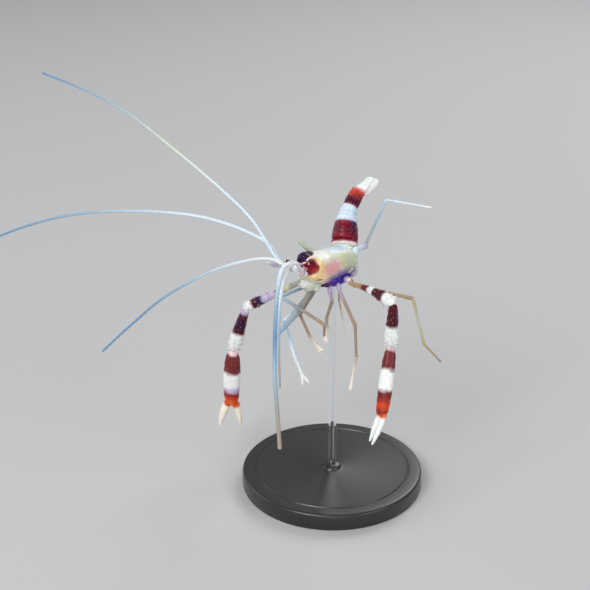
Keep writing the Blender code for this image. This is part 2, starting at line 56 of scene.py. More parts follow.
Triple = tuple[float, float, float]
Station = tuple[float, float, float, float]      # y, half width, top and bottom
Relief = Callable[[Array, Array], Array]         # height from distance along and turn

MM = 0.001
HUB = np.array((0.0, -2.5, 70.0))
UP = np.array((0.0, 0.0, 1.0))
LEFTWARD = np.array((1.0, 0.0, 0.0))
TOP, BOTTOM = math.pi / 2, -math.pi / 2          # turns round a form that runs backwards
EDGES = (0.0, math.pi)                           # turns at the two ends of its wide side
VIEWER = 45                                      # bearing that limbs and claws open towards


class Side(Enum):
    """The shrimp's two sides, with the sign of X on each."""

    LEFT = 1
    RIGHT = -1

    @property
    def word(self) -> str:
        """The side's name as nodes use it."""
        return self.name.lower()


class Hue(Enum):
    """The shrimp's colours, as red, green and blue from 0 to 255."""

    WHITE = (238, 240, 238)
    BLUE_WHITE = (214, 230, 244)
    PALE_BLUE = (150, 180, 200)
    STEEL = (104, 146, 182)
    CLEAR_GREEN = (186, 196, 176)
    CLEAR_GREY = (168, 172, 160)
    MILK_GREEN = (212, 220, 198)
    CREAM = (248, 216, 160)
    STRAW = (204, 202, 158)
    BLUSH = (242, 214, 222)
    PINK = (226, 160, 168)
    ROSE = (176, 62, 92)
    LAVENDER = (196, 182, 214)
    CRIMSON = (128, 4, 34)
    PLUM = (78, 6, 44)
    WINE = (78, 4, 26)
    DARK_PURPLE = (54, 8, 46)
    RED_BROWN = (116, 40, 44)
    BRICK = (140, 24, 20)
    RED_ORANGE = (206, 62, 22)
    ORANGE = (226, 104, 40)
    IVORY = (248, 240, 222)
    NAVY = (40, 22, 72)
    SAND = (188, 156, 120)
    TAN = (164, 144, 124)
    YELLOW_BROWN = (186, 162, 108)
    GREY = (150, 152, 146)
    VIOLET = (106, 66, 160)
    BLUE = (52, 40, 190)
    EYE = (44, 28, 34)

    @property
    def linear(self) -> tuple[float, float, float, float]:
        """The colour as a shader takes it."""
        parts = [part / 255 for part in self.value]
        red, green, blue = (part / 12.92 if part <= 0.04045 else ((part + 0.055) / 1.055) ** 2.4
                            for part in parts)
        return (red, green, blue, 1.0)


Bands = tuple[tuple[float, Hue], ...]            # places from 0 to 1 along a piece, with colours


# Places, routes and reliefs

def at(point: Sequence[float], side: Side = Side.LEFT) -> Array:
    """A body point in the frame; the right side mirrors it."""
    x, y, z = point
    return HUB + np.array((side.value * x, y, z))


def unit(vector: Array) -> Array:
    """The vector at length one."""
    return vector / np.linalg.norm(vector, axis=-1, keepdims=True)


def heading(bearing: float, rise: float) -> Array:
    """Unit vector of a bearing, 0 forwards and 90 to the left, and a rise, in degrees."""
    turn, climb = math.radians(bearing), math.radians(rise)
    level = math.cos(climb)
    return np.array((math.sin(turn) * level, -math.cos(turn) * level, math.sin(climb)))


def leaning(way: Array, aside: Array, degrees: float) -> Array:
    """The way leaned towards another at right angles to it."""
    return way * math.cos(math.radians(degrees)) + aside * math.sin(math.radians(degrees))


def off_axis(way: Array) -> Array:
    """A direction well away from a form's own, to measure its width along."""
    return LEFTWARD if abs(way[0]) < 0.8 else UP


def chain(start: Array, segments: Iterable[Triple]) -> list[Array]:
    """The root and the joints of a limb.

    Args:
        start: the limb's root.
        segments: length, bearing and rise of each segment.

    Returns:
        The root and the end of each segment.
    """
    points = [start]
    for length, bearing, rise in segments:
        points.append(points[-1] + heading(bearing, rise) * length)
    return points


def spread(first: float, last: float, count: int) -> Array:
    """Evenly spaced values."""
    return np.linspace(first, last, count)


def straight(start: Array, end: Array, count: int) -> Array:
    """Evenly spaced points from the start to the end."""
    return start + (end - start) * spread(0, 1, count)[:, None]


def circle(sides: int) -> Array:
    """Evenly spaced turns once round."""
    return 2 * math.pi * np.arange(sides) / sides


def scaled(size: float, *parts: float) -> list[float]:
    """The size times each part."""
    return [size * part for part in parts]


def fine_curve(knots: Array, parts: int = 16) -> Array:
    """Points of a Catmull-Rom curve through the knots, whatever their number of columns."""
    ends = np.vstack((2 * knots[0] - knots[1], knots, 2 * knots[-1] - knots[-2]))
    a, b, c, d = (ends[i:len(ends) - 3 + i, None, :] for i in range(4))
    t = (np.arange(parts) / parts)[None, :, None]
    run = 0.5 * (2 * b + (c - a) * t + (2 * a - 5 * b + 4 * c - d) * t ** 2
                 + (3 * b - a - 3 * c + d) * t ** 3)
    return np.vstack((run.reshape(-1, knots.shape[1]), knots[-1]))


def carried_frame(along: Array) -> Array:
    """Sideways vectors carried along a winding route without twist."""
    side = unit(np.cross(along[0], UP if abs(along[0][2]) < 0.9 else LEFTWARD))
    sides = []
    for way in along:
        side = unit(side - way * side.dot(way))
        sides.append(side)
    return np.array(sides)


def bell(value: Array, middle: float | Array, width: float, power: int = 2) -> Array:
    """A smooth rise to 1 at the middle; a higher power gives it a flatter top."""
    return np.exp(-((value - middle) / width) ** power)


def ridges(value: Array, rows: Iterable[Triple]) -> Array:
    """Bells added up, each row a height, a middle and a width."""
    return sum(height * bell(value, middle, width) for height, middle, width in rows)


def ringed(height: float, pitch: float) -> Relief:
    """A relief of even rings along a form."""
    def relief(place: Array, turn: Array) -> Array:
        """Height from distance along."""
        return height * np.cos(2 * math.pi * place / pitch)
    return relief


def furrowed(depth: float) -> Relief:
    """A relief of shallow furrows and low bumps along a claw."""
    def relief(place: Array, turn: Array) -> Array:
        """Height from distance along and turn."""
        return depth * (0.6 * np.cos(turn * 6) + 0.5 * np.sin(place * 2.4 + np.cos(turn * 3) * 2))
    return relief


# Forms

@dataclass
class Form:
    """A closed swept form: its rings, the way out at each point, and the markings' scales."""

    rings: Array
    outward: Array
    along: Array
    shares: Array
    turns: Array

    def spot(self, share: float, turn: float) -> tuple[Array, Array, Array]:
        """A place on the surface.

        Args:
            share: how far along the form, from 0 to 1.
            turn: angle round it, 0 at its wide side and TOP at its tall side.

        Returns:
            The point, the way out of the surface and the way along the form.
        """
        row = int(np.argmin(abs(self.shares - share)))
        column = int(round(turn / (2 * math.pi) * len(self.turns))) % len(self.turns)
        return self.rings[row, column], self.outward[row, column], self.along[row]


CAP_ROWS = 6                  # rings that round off an end
CAP_SPACING = 1.1             # the first plain ring's distance from the tip, in cap depths
LONGEST_CAP = 0.45            # the most of a form's length that a cap takes
TIP_SIZE = 0.012              # square of the last ring's size, which keeps it open


def sweep(knots: Sequence[Array] | Array, widths: Sequence[float], heights: Sequence[float],
          wide: Array | None, step: float, sides: int, blunt: Pair = (1, 1),
          squareness: float = 2.0, relief: Relief | None = None) -> Form:
    """A form along a smooth route, with an oval of its own at each knot.

    Args:
        knots: the route's points.
        widths: half width at each knot.
        heights: half height at each knot.
        wide: the way that widths are measured; None carries a frame along a winding route.
        step: distance between rings.
        sides: points round each ring.
        blunt: how round the two ends are, as shares of the half height; 0 leaves a flat end.
        squareness: 2 for an oval, more for a boxier section.
        relief: how far the surface stands out.

    Returns:
        The form.
    """
    fine = fine_curve(np.column_stack((np.array(knots), widths, heights)))
    runs = np.concatenate(([0.0], np.cumsum(np.linalg.norm(np.diff(fine[:, :3], axis=0), axis=1))))
    length = runs[-1]
    places = spread(0, length, max(3, round(length / step)) + 1)
    first, last = (min(max(min(row[3:]) * part, 0.0), length * LONGEST_CAP)
                   for row, part in zip((fine[0], fine[-1]), blunt))
    quarter = 1 - np.cos(spread(0, math.pi / 2, CAP_ROWS))
    if first > 0:
        places = np.concatenate((quarter * first, places[places > first * CAP_SPACING]))
    if last > 0:
        places = np.concatenate((places[places < length - last * CAP_SPACING],
                                 length - quarter[::-1] * last))
    rows = np.column_stack([np.interp(places, runs, column) for column in fine.T])
    fade = np.ones((len(places), 1))
    for cap, depth in ((first, places), (last, length - places)):
        if cap > 0:
            near = np.clip(1 - depth / cap, 0, 1)[:, None]
            fade *= np.sqrt(np.maximum(1 - near ** 2, TIP_SIZE))
    along = unit(np.gradient(rows[:, :3], places, axis=0))
    if wide is None:
        across = carried_frame(along)
        tall = np.cross(across, along)
    else:
        tall = unit(np.cross(np.broadcast_to(wide, along.shape), along))
        across = np.cross(along, tall)
    turns = circle(sides)
    c, s = (np.sign(v) * abs(v) ** (2 / squareness) for v in (np.cos(turns), np.sin(turns)))
    half_width, half_height = rows[:, 3, None], rows[:, 4, None]
    across, tall = across[:, None, :], tall[:, None, :]
    rings = rows[:, None, :3] + across * (half_width * fade * c)[..., None]
    rings += tall * (half_height * fade * s)[..., None]
    outward = unit(across * (half_height * c)[..., None] + tall * (half_width * s)[..., None])
    if relief is not None:
        rings += outward * (relief(places[:, None], turns[None, :]) * fade)[..., None]
    return Form(rings, outward, along, places / length, turns)


def taper(start: Array, end: Array, widths: Sequence[float], wide: Array, step: float = 0.25,
          sides: int = 20, blunt: Pair = (1, 1), relief: Relief | None = None,
          heights: Sequence[float] | None = None) -> Form:
    """A straight oval form.

    Args:
        start: its first point.
        end: its last point.
        widths: half widths, evenly spaced from start to end.
        wide: the way that widths are measured.
        step: distance between rings.
        sides: points round each ring.
        blunt: how round the two ends are.
        relief: how far the surface stands out.
        heights: half heights; without them the form is round.

    Returns:
        The form.
    """
    return sweep(straight(start, end, len(widths)), widths, heights or widths, wide, step, sides,
                 blunt, 2.0, relief)


def midline(stations: Sequence[Station], step: float, sides: int, blunt: Pair,
            squareness: float, relief: Relief | None = None) -> Form:
    """A form on the body's middle plane through stations, its top upwards."""
    rows = np.array(stations)
    knots = [at((0, y, (top + bottom) / 2)) for y, _, top, bottom in stations]
    wide = LEFTWARD * np.sign(rows[-1, 0] - rows[0, 0])
    return sweep(knots, rows[:, 1], (rows[:, 2] - rows[:, 3]) / 2, wide, step, sides, blunt,
                 squareness, relief)


def turned(profile: Sequence[Pair], sides: int) -> Form:
    """A form turned about the frame's Z axis from radius and height pairs."""
    turns = circle(sides)
    spokes = np.column_stack((np.cos(turns), np.sin(turns), np.zeros(sides)))
    rings = np.array([spokes * radius + UP * height for radius, height in profile])
    return Form(rings, np.broadcast_to(spokes, rings.shape),
                np.broadcast_to(UP, (len(profile), 3)), spread(0, 1, len(profile)), turns)


# Pieces

class Piece:
    """Gathers forms, spines and hairs into one mesh with its markings' scales."""

    marks = ("share", "side", "top", "tip")

    def __init__(self, name: str) -> None:
        """Start an empty piece of that name."""
        self.name = name
        self.points: list[Array] = []
        self.faces: list[list[int]] = []
        self.scales: list[Array] = []
        self.count = 0

    def _take(self, points: Array, faces: list[list[int]], scales: Array) -> None:
        """Take points, faces that count from the first of them, and each point's scales."""
        self.faces += [[index + self.count for index in face] for face in faces]
        self.points.append(points)
        self.scales.append(scales)
        self.count += len(points)

    def add(self, form: Form, span: Pair = (0.0, 1.0)) -> Form:
        """Take a form whose markings cover a span of the piece's.

        Args:
            form: the form.
            span: the markings' share at its two ends.

        Returns:
            The same form, for spines to stand on.
        """
        rows, sides = form.rings.shape[:2]
        index = np.arange(rows * sides).reshape(rows, sides)
        beyond = np.roll(index, -1, axis=1)
        quads = np.stack((index[:-1], beyond[:-1], beyond[1:], index[1:]), axis=-1)
        faces = [*quads.reshape(-1, 4).tolist(), index[0, ::-1].tolist(), index[-1].tolist()]
        shares = span[0] + (span[1] - span[0]) * form.shares[:, None]
        scales = np.stack(np.broadcast_arrays(shares, np.cos(form.turns), np.sin(form.turns), 0.0),
                          axis=-1)
        self._take(form.rings.reshape(-1, 3), faces, scales.reshape(-1, 4))
        return form

    def add_cone(self, root: Array, tip: Array, radius: float, share: float,
                 sides: int = 5) -> None:
        """A spine or hair, marked with the share and from near 0 to 1 along it."""
        way = unit(tip - root)
        side = unit(np.cross(way, UP if abs(way[2]) < 0.9 else LEFTWARD))
        turns = circle(sides)
        foot = root + radius * (np.outer(np.cos(turns), side)
                                + np.outer(np.sin(turns), np.cross(way, side)))
        faces = [[i, (i + 1) % sides, sides] for i in range(sides)]
        faces.append(list(range(sides))[::-1])
        scales = np.array([(share, 0, 0, 0.25)] * sides + [(share, 0, 0, 1.0)])
        self._take(np.vstack((foot, tip)), faces, scales)

    def add_spines(self, form: Form, shares: Iterable[float], turns: Sequence[float] | Array,
                   length: float, lean: float, radius: float, span: Pair = (0, 1),
                   jitter: float = 0.0, seed: int = 1) -> None:
        """Spines in rows over a form.

        Args:
            form: what they stand on.
            shares: where along the form each row stands.
            turns: angles round the form.
            length: length of a spine.
            lean: degrees that they lean along the form, negative towards its start.
            radius: radius at the foot.
            span: the markings' share at the form's two ends.
            jitter: how much places and lengths vary, from 0 to 1.
            seed: start of the random draws.
        """
        draw = np.random.default_rng(seed)
        stagger = 0.5 * (turns[1] - turns[0]) if len(turns) > 1 else 0.0
        for number, share in enumerate(shares):
            for turn in turns:
                shift = draw.uniform(-1, 1, 3) * jitter
                place = min(max(share + shift[0] * 0.04, 0.0), 1.0)
                turn += number % 2 * stagger * jitter + shift[1] * 0.1
                root, out, along = form.spot(place, turn)
                tip = root + leaning(out, along, lean) * length * (1 + shift[2] * 0.5)
                self.add_cone(root - out * radius * 0.6, tip, radius=radius,
                              share=span[0] + (span[1] - span[0]) * place)

    def add_fringe(self, form: Form, shares: Iterable[float], turn: float, length: float,
                   lean: float, seed: int, mark: float = 1.0, radius: float = 0.035) -> None:
        """Fine hairs along one edge of a form.

        Args:
            form: what they stand on.
            shares: where along the form each hair stands.
            turn: the edge's angle round the form.
            length: length of a hair.
            lean: degrees that they lean along the form.
            seed: start of the random draws.
            mark: the markings' share for all hairs.
            radius: radius at the foot.
        """
        draw = np.random.default_rng(seed)
        for share in shares:
            root, out, along = form.spot(share, turn)
            way = leaning(out, along, lean + draw.uniform(-9, 9))
            self.add_cone(root - out * radius, root + way * length * draw.uniform(0.75, 1.15),
                          radius=radius, share=mark, sides=3)

    def make(self, finish: "Finish | Plain", *nodes: str) -> bpy.types.Object:
        """The finished object, riding on the root.

        Args:
            finish: what dresses it.
            nodes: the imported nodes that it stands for.

        Returns:
            The object.
        """
        mesh = bpy.data.meshes.new(self.name)
        mesh.from_pydata((np.vstack(self.points) * MM).tolist(), [], self.faces)
        for column, name in zip(np.vstack(self.scales).T, self.marks):
            layer = mesh.attributes.new(name, "FLOAT", "POINT")
            layer.data.foreach_set("value", column.astype(np.float32))
        mesh.materials.append(finish.material())
        mesh.update()
        mesh.shade_smooth()
        item = bpy.data.objects.new(self.name, mesh)
        bpy.context.scene.collection.objects.link(item)
        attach(item, "root")
        if nodes:
            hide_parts(*nodes)
        LOG.info("%s: %d faces for %s", self.name, len(self.faces), ", ".join(nodes) or "itself")
        return item


# Materials

class Graph:
    """The nodes of one material."""

    def __init__(self, name: str) -> None:
        """Start a material whose only nodes are its surface and output."""
        self.material = bpy.data.materials.new(name)
        self.material.use_nodes = True
        self.tree = self.material.node_tree
        self.surface = self.tree.nodes["Principled BSDF"]

    def node(self, kind: str, settings: dict | None = None, sockets: dict | None = None,
             output: int | str = 0) -> "Signal":
        """Add a node.

        Args:
            kind: the node's type, without its ShaderNode prefix.
            settings: its properties, and a colour ramp's stops, which are set first.
            sockets: values or signals for its inputs, by name or number.
            output: the output that is wanted.

        Returns:
            The output as a signal.
        """
        item = self.tree.nodes.new("ShaderNode" + kind)
        for key, value in (settings or {}).items():
            if key == "stops":
                self._set_stops(item.color_ramp, value)
            else:
                setattr(item, key, value)
        for key, value in (sockets or {}).items():
            self.feed(item.inputs[key], value)
        return Signal(self, item.outputs[output])

    def _set_stops(self, ramp: bpy.types.ColorRamp, stops: Bands) -> None:
        """Give a ramp its places and colours."""
        while len(ramp.elements) > 1:
            ramp.elements.remove(ramp.elements[-1])
        for number, (place, hue) in enumerate(stops):
            stop = ramp.elements.new(place) if number else ramp.elements[0]
            stop.position = place
            stop.color = hue.linear

    def feed(self, socket: bpy.types.NodeSocket, value: object) -> None:
        """Link a signal to a socket, or set the socket's own value."""
        if isinstance(value, Signal):
            self.tree.links.new(value.socket, socket)
        else:
            socket.default_value = value

    def set(self, **values: object) -> None:
        """Set or feed the surface's sockets, named with underscores for spaces."""
        for name, value in values.items():
            self.feed(self.surface.inputs[name.replace("_", " ")], value)

    def mark(self, name: str) -> "Signal":
        """One of the scales that the pieces carry."""
        return self.node("Attribute", {"attribute_name": name}, output="Fac")

    def place(self) -> "Signal":
        """The point in the frame, in metres."""
        return self.node("TexCoord", output="Object")

    def noise(self, size: float, detail: float = 2.0) -> "Signal":
        """Noise from 0 to 1 whose grains are about that size."""
        return self.node("TexNoise", sockets={"Scale": 1 / (size * MM), "Detail": detail,
                                              "Vector": self.place()})

    def vector(self, operation: str, first: object, second: object,
               output: int | str = 0) -> "Signal":
        """A Vector Math node on two values."""
        return self.node("VectorMath", {"operation": operation}, {0: first, 1: second}, output)

    def mix(self, factor: "Signal | float", first: object, second: object) -> "Signal":
        """A colour between two colours."""
        sockets = {"Factor": factor, 6: first, 7: second}
        return self.node("Mix", {"data_type": "RGBA"}, sockets, output=2)

    def shaded(self, colour: "Signal", value: float, saturation: float) -> "Signal":
        """A colour with its value and saturation scaled."""
        return self.node("HueSaturation", sockets={"Color": colour, "Value": value,
                                                   "Saturation": saturation})

    def step(self, value: "Signal", low: float, high: float) -> "Signal":
        """A smooth step from 0 at low to 1 at high."""
        sockets = {"Value": value, "From Min": low, "From Max": high}
        return self.node("MapRange", {"interpolation_type": "SMOOTHSTEP"}, sockets)

    def bump(self, height: "Signal", depth: float) -> "Signal":
        """A normal from a height that spans the depth."""
        return self.node("Bump", sockets={"Height": height, "Distance": depth * MM,
                                          "Strength": 1.0})


def operator(operation: str, reflected: bool = False) -> Callable[["Signal", object], "Signal"]:
    """A Math node as a Python operator, reflected when the number comes first."""
    def act(self: "Signal", other: object) -> "Signal":
        """The node on the two values."""
        first, second = (other, self) if reflected else (self, other)
        return self.graph.node("Math", {"operation": operation}, {0: first, 1: second})
    return act


class Signal:
    """A node's output that can be used in Python sums."""

    def __init__(self, graph: Graph, socket: bpy.types.NodeSocket) -> None:
        """Wrap an output of a graph's node."""
        self.graph = graph
        self.socket = socket

    __add__, __radd__ = operator("ADD"), operator("ADD", True)
    __sub__, __mul__ = operator("SUBTRACT"), operator("MULTIPLY")


@dataclass(frozen=True)
class Patch:
    """A soft-edged spot of colour: a body place, its reach each way, and its strength."""

    centre: Triple
    reach: Triple
    hue: Hue
    strength: float
    edge: float
    mirrored: bool = False

    def cover(self, graph: Graph, rough: Signal) -> Signal:
        """How far the patch covers each point, with a ragged edge from the noise."""
        where = graph.vector("SUBTRACT", graph.vector("MULTIPLY", graph.place(), (1 / MM,) * 3),
                             tuple(HUB))
        if self.mirrored:
            cross = graph.node("SeparateXYZ", sockets={0: where})
            folded = graph.node("Math", {"operation": "ABSOLUTE"}, {0: cross})
            where = graph.vector("ADD", where,
                                 graph.node("CombineXYZ", sockets={"X": folded - cross}))
        where = graph.vector("DIVIDE", graph.vector("SUBTRACT", where, self.centre), self.reach)
        far = graph.vector("LENGTH", where, (0, 0, 0), "Value") + (rough - 0.5) * 0.5
        return graph.step(far, 1 + self.edge, 1 - self.edge) * self.strength


@dataclass(frozen=True)
class Finish:
    """A surface of shell or skin.

    The bands run along a piece and blend evenly from one to the next. Patches lie over them, then
    the belly's colour below and the spines' towards their tips. The wobble shifts the bands'
    borders, and the mottle is how strongly the grain darkens and lightens the colour. Dark and
    light are each a value and a saturation.
    """

    name: str
    bands: Bands
    patches: tuple[Patch, ...] = ()
    belly: Hue | None = None
    wobble: float = 0.03
    mottle: float = 0.22
    grain: float = 0.5
    bumps: float = 0.05
    roughness: float = 0.34
    coat: float = 0.10
    gloss: float = 0.20
    clarity: float = 0.25
    spine: Hue = Hue.WHITE
    spine_cover: float = 0.4
    belly_cover: float = 0.8
    belly_edge: Pair = (-0.35, -0.85)
    blotch: float = 2.2
    speck: Pair = (0.36, 0.64)
    dark: Pair = (0.72, 1.12)
    light: Pair = (1.08, 0.92)
    unevenness: float = 0.2
    coat_roughness: float = 0.12
    depth_tint: Triple = (1.0, 0.7, 0.55)

    def material(self) -> bpy.types.Material:
        """The finish's material, made once."""
        return bpy.data.materials.get(self.name) or self.build()

    def build(self) -> bpy.types.Material:
        """Make the material's nodes."""
        graph = Graph(self.name)
        coarse, fine = graph.noise(self.blotch, 3.0), graph.noise(self.grain, 3.0)
        share = graph.mark("share") + (coarse - 0.5) * (2 * self.wobble)
        colour = graph.node("ValToRGB", {"stops": self.bands}, {"Fac": share})
        for patch in self.patches:
            colour = graph.mix(patch.cover(graph, coarse), colour, patch.hue.linear)
        if self.belly is not None:
            under = graph.step(graph.mark("top") + (coarse - 0.5) * 0.4, *self.belly_edge)
            colour = graph.mix(under * self.belly_cover, colour, self.belly.linear)
        colour = graph.mix(graph.mark("tip") * self.spine_cover, colour, self.spine.linear)
        tone = graph.mix(graph.step(fine, *self.speck), graph.shaded(colour, *self.dark),
                         graph.shaded(colour, *self.light))
        graph.set(Base_Color=graph.mix(self.mottle, colour, tone),
                  Normal=graph.bump(fine, self.bumps),
                  Roughness=self.roughness + (fine - 0.5) * self.unevenness,
                  Subsurface_Weight=self.clarity, Subsurface_Scale=MM,
                  Subsurface_Radius=self.depth_tint, Specular_IOR_Level=self.gloss,
                  Coat_Weight=self.coat, Coat_Roughness=self.coat_roughness)
        return graph.material


@dataclass(frozen=True)
class Plain:
    """A made surface whose colour drifts between two tones; its grain is a fine tooth."""

    name: str
    tones: tuple[Triple, Triple]
    drift: float
    roughness: float
    grain: float = 0.0
    variation: float = 0.0
    bumps: float = 0.0
    sockets: tuple[tuple[str, float], ...] = ()

    def material(self) -> bpy.types.Material:
        """Make the material."""
        graph = Graph(self.name)
        broad = graph.noise(self.drift)
        fine = graph.noise(self.grain) if self.grain else broad
        first, second = ((*tone, 1.0) for tone in self.tones)
        graph.set(Base_Color=graph.mix(broad, first, second), Roughness=self.roughness,
                  **dict(self.sockets))
        if self.variation:
            graph.set(Roughness=self.roughness + (fine - 0.5) * self.variation)
        if self.bumps:
            graph.set(Normal=graph.bump(fine, self.bumps))
        return graph.material


def even(*hues: Hue) -> Bands:
    """Bands that blend evenly through the colours."""
    return tuple((number / (len(hues) - 1), hue) for number, hue in enumerate(hues))


def blocks(*pairs: tuple[float, Hue], soft: float) -> Bands:
    """Bands with narrow borders.

    Args:
        pairs: where each band ends and its colour.
        soft: half the width of a border.

    Returns:
        The bands as a ramp's stops.
    """
    stops = [(0.0, pairs[0][1])]
    for (end, hue), (_, beyond) in zip(pairs, pairs[1:]):
        stops += [(end - soft, hue), (end + soft, beyond)]
    return tuple(stops)


# The stand

@dataclass
class Stand:
    """A round base and the clear rod under the thorax."""

    base_radius: float = 26.0
    base_height: float = 5.0
    edge: float = 0.9
    sharp: float = 35                 # degrees from which an edge is shaded as sharp
    # how far in from the rounded edge, and how deep
    groove: tuple[Pair, ...] = ((2.6, 0), (2.8, 0.25), (3.2, 0.25), (3.4, 0))
    rod_radius: float = 1.1
    rod_top: float = 63.35
    # radius beyond the rod's socket, and height over the base
    socket_radius: float = 2.3
    socket: tuple[Pair, ...] = ((1.2, 0), (0.5, 0.12), (0.12, 0.5), (-0.05, 1.0), (-0.5, 1.25))
    sides: int = 160

    def build(self) -> None:
        """Make the base, a turned disc, and the rod with its softened top end."""
        radius, height, edge = self.base_radius, self.base_height, self.edge
        middle = 0.02
        profile = [(middle, 0), (radius - 0.6, 0), (radius - 0.15, 0.12), (radius, 0.5)]
        profile += [(radius - edge + edge * math.cos(turn), height - edge + edge * math.sin(turn))
                    for turn in spread(0, math.pi / 2, 9)]
        profile += [(radius - edge - offset, height - depth) for offset, depth in self.groove]
        profile += [(self.socket_radius + wide, height + rise) for wide, rise in self.socket]
        profile.append((middle, profile[-1][1]))
        base = Piece("display_base")
        base.add(turned(profile, self.sides))
        item = base.make(BASE_FINISH, "stand_base")
        item.data.set_sharp_from_angle(angle=math.radians(self.sharp))
        rod = Piece("display_rod")
        rod.add(taper(UP * height, UP * self.rod_top, [self.rod_radius] * 4, LEFTWARD, step=4.0,
                      sides=32, blunt=(0, 0.5)))
        rod.make(ROD_FINISH, "stand_rod")


# The body

@dataclass
class Carapace:
    """The shield over head and thorax, with the rostrum."""

    shield: tuple[Station, ...] = (
        (-10.7, 1.7, 3.0, -0.2), (-10.0, 2.6, 3.15, -1.8), (-8.8, 3.4, 3.5, -3.7),
        (-5.0, 4.1, 4.5, -4.35), (-2.0, 4.4, 4.7, -4.1), (2.0, 4.5, 4.4, -3.9),
        (4.5, 4.5, 3.8, -3.5), (6.3, 4.3, 3.2, -2.7), (7.9, 3.9, 2.7, -1.4))
    rostrum: tuple[Station, ...] = (
        (-8.4, 0.75, 3.80, 2.30), (-10.0, 0.85, 3.65, 2.05), (-11.1, 0.66, 3.75, 2.35),
        (-12.0, 0.45, 4.25, 3.25), (-13.1, 0.28, 4.83, 4.27), (-14.5, 0.09, 5.23, 5.07))
    arch_width: float = 0.72          # share of the width that is hollowed below
    arch_height: float = 1.5
    front_lean: float = 0.90
    front_pinch: float = 0.80
    rear_lean: float = 0.42
    # height, middle and width of the rear margin's ridge and furrow
    rim: tuple[Triple, ...] = ((0.16, 17.9, 0.35), (-0.10, 17.0, 0.4))
    neck_depth: float = 0.24
    second_groove: Pair = (3.4, 0.16)     # how far behind the neck groove, and its depth
    gill_height: float = 0.22
    keel_height: float = 0.16
    lump_height: float = 0.05
    swelling: float = 1.75            # height of the two domes behind the eyes
    # shares of the shield, length, lean, radius and jitter of three zones of spines
    zones: tuple[tuple[tuple[float, ...], float, float, float, float], ...] = (
        ((0.10, 0.18, 0.26), 0.62, -58, 0.13, 0.5),
        ((0.36, 0.45, 0.54), 0.58, -60, 0.12, 0.6),
        ((0.64, 0.74, 0.84, 0.92), 0.46, -62, 0.10, 0.7))
    # degrees over the side and length of the front margin's spines
    front_spines: tuple[Pair, ...] = ((38, 0.95), (8, 1.15), (-28, 0.8))

    def relief(self, place: Array, turn: Array) -> Array:
        """Neck grooves, rim, keel, gill covers and the domes behind the eyes."""
        top = np.sin(turn)
        dome = bell(place, 4.4, 3.0) * bell(abs(turn - TOP), 0.68, 0.48)
        groove = 5.6 + 2.2 * (1 - np.clip(top, -0.4, 1))
        neck = -self.neck_depth * bell(place, groove, 0.45) * (top > -0.6)
        beyond, depth = self.second_groove
        second = -depth * bell(place, groove + beyond, 0.5) * (top > -0.2)
        gill = self.gill_height * np.cos(turn) ** 2 * bell(place, 12.0, 3.2)
        keel = self.keel_height * bell(turn, TOP, 0.16) * bell(place, 0, 6.8)
        lumps = np.sin(place * 3.1 + 2 * np.cos(turn * 5)) * np.sin(turn * 9 + place)
        return (neck * (1 - 0.8 * dome) + second + ridges(place, self.rim) + gill + keel
                + self.lump_height * lumps + self.swelling * dome)

    def build(self) -> None:
        """Make the shield with its rostrum and spines, largest behind the eyes."""
        piece = Piece("carapace_shield")
        form = midline(self.shield, step=0.3, sides=72, blunt=(0.9, 0.25), squareness=2.25,
                       relief=self.relief)
        self.open_below(form)
        piece.add(form)
        self.add_rostrum(piece)
        fan = TOP + np.radians(range(-115, 116, 21))
        for number, (shares, length, lean, radius, jitter) in enumerate(self.zones):
            piece.add_spines(form, shares, fan, length=length, lean=lean, radius=radius,
                             jitter=jitter, seed=11 + number)
        for side in Side:
            for angle, length in self.front_spines:
                turn = EDGES[side is Side.RIGHT] + math.radians(angle) * side.value
                piece.add_spines(form, [0.035], [turn], length=length, lean=-72, radius=0.16)
        piece.make(CARAPACE_FINISH, "carapace")

    def open_below(self, form: Form) -> None:
        """Hollow the underside, pinch and lean the front margin, and lean the rear one."""
        rows, rings = np.array(self.shield), form.rings
        ys = rows[:, 0] + HUB[1]
        middle = np.interp(rings[..., 1], ys, rows[:, 2:].mean(axis=1) + HUB[2])
        half = np.interp(rings[..., 1], ys, rows[:, 1])
        inside = 1 - ((rings[..., 0] - HUB[0]) / (half * self.arch_width)) ** 2
        below = (rings[..., 2] < middle) & (inside > 0)
        rings[..., 2] += np.where(below, self.arch_height * inside, 0)
        height = rings[..., 2] - middle
        rear = np.clip((form.shares - 0.80) / 0.20, 0, 1)[:, None] ** 1.5
        front = np.clip((0.26 - form.shares) / 0.26, 0, 1)[:, None] ** 0.8
        pinch = 1 - front * self.front_pinch * np.clip(-height / 3, 0, 1)
        rings[..., 0] = HUB[0] + (rings[..., 0] - HUB[0]) * pinch
        rings[..., 1] += rear * self.rear_lean * height
        rings[..., 1] -= front * self.front_lean * np.minimum(height, 0)

    def add_rostrum(self, piece: Piece) -> None:
        """The blade between the eyes, with teeth above, below and beside."""
        blade = piece.add(midline(self.rostrum, step=0.25, sides=16, blunt=(0.5, 0.5),
                                  squareness=1.6), span=(-0.2, 0.0))
        piece.add_spines(blade, spread(0.16, 0.90, 7), [TOP], length=0.62, lean=52, radius=0.13)
        piece.add_spines(blade, spread(0.50, 0.84, 3), EDGES, length=0.48, lean=62, radius=0.10)
        piece.add_spines(blade, (0.62, 0.78), [BOTTOM], length=0.42, lean=55, radius=0.10)


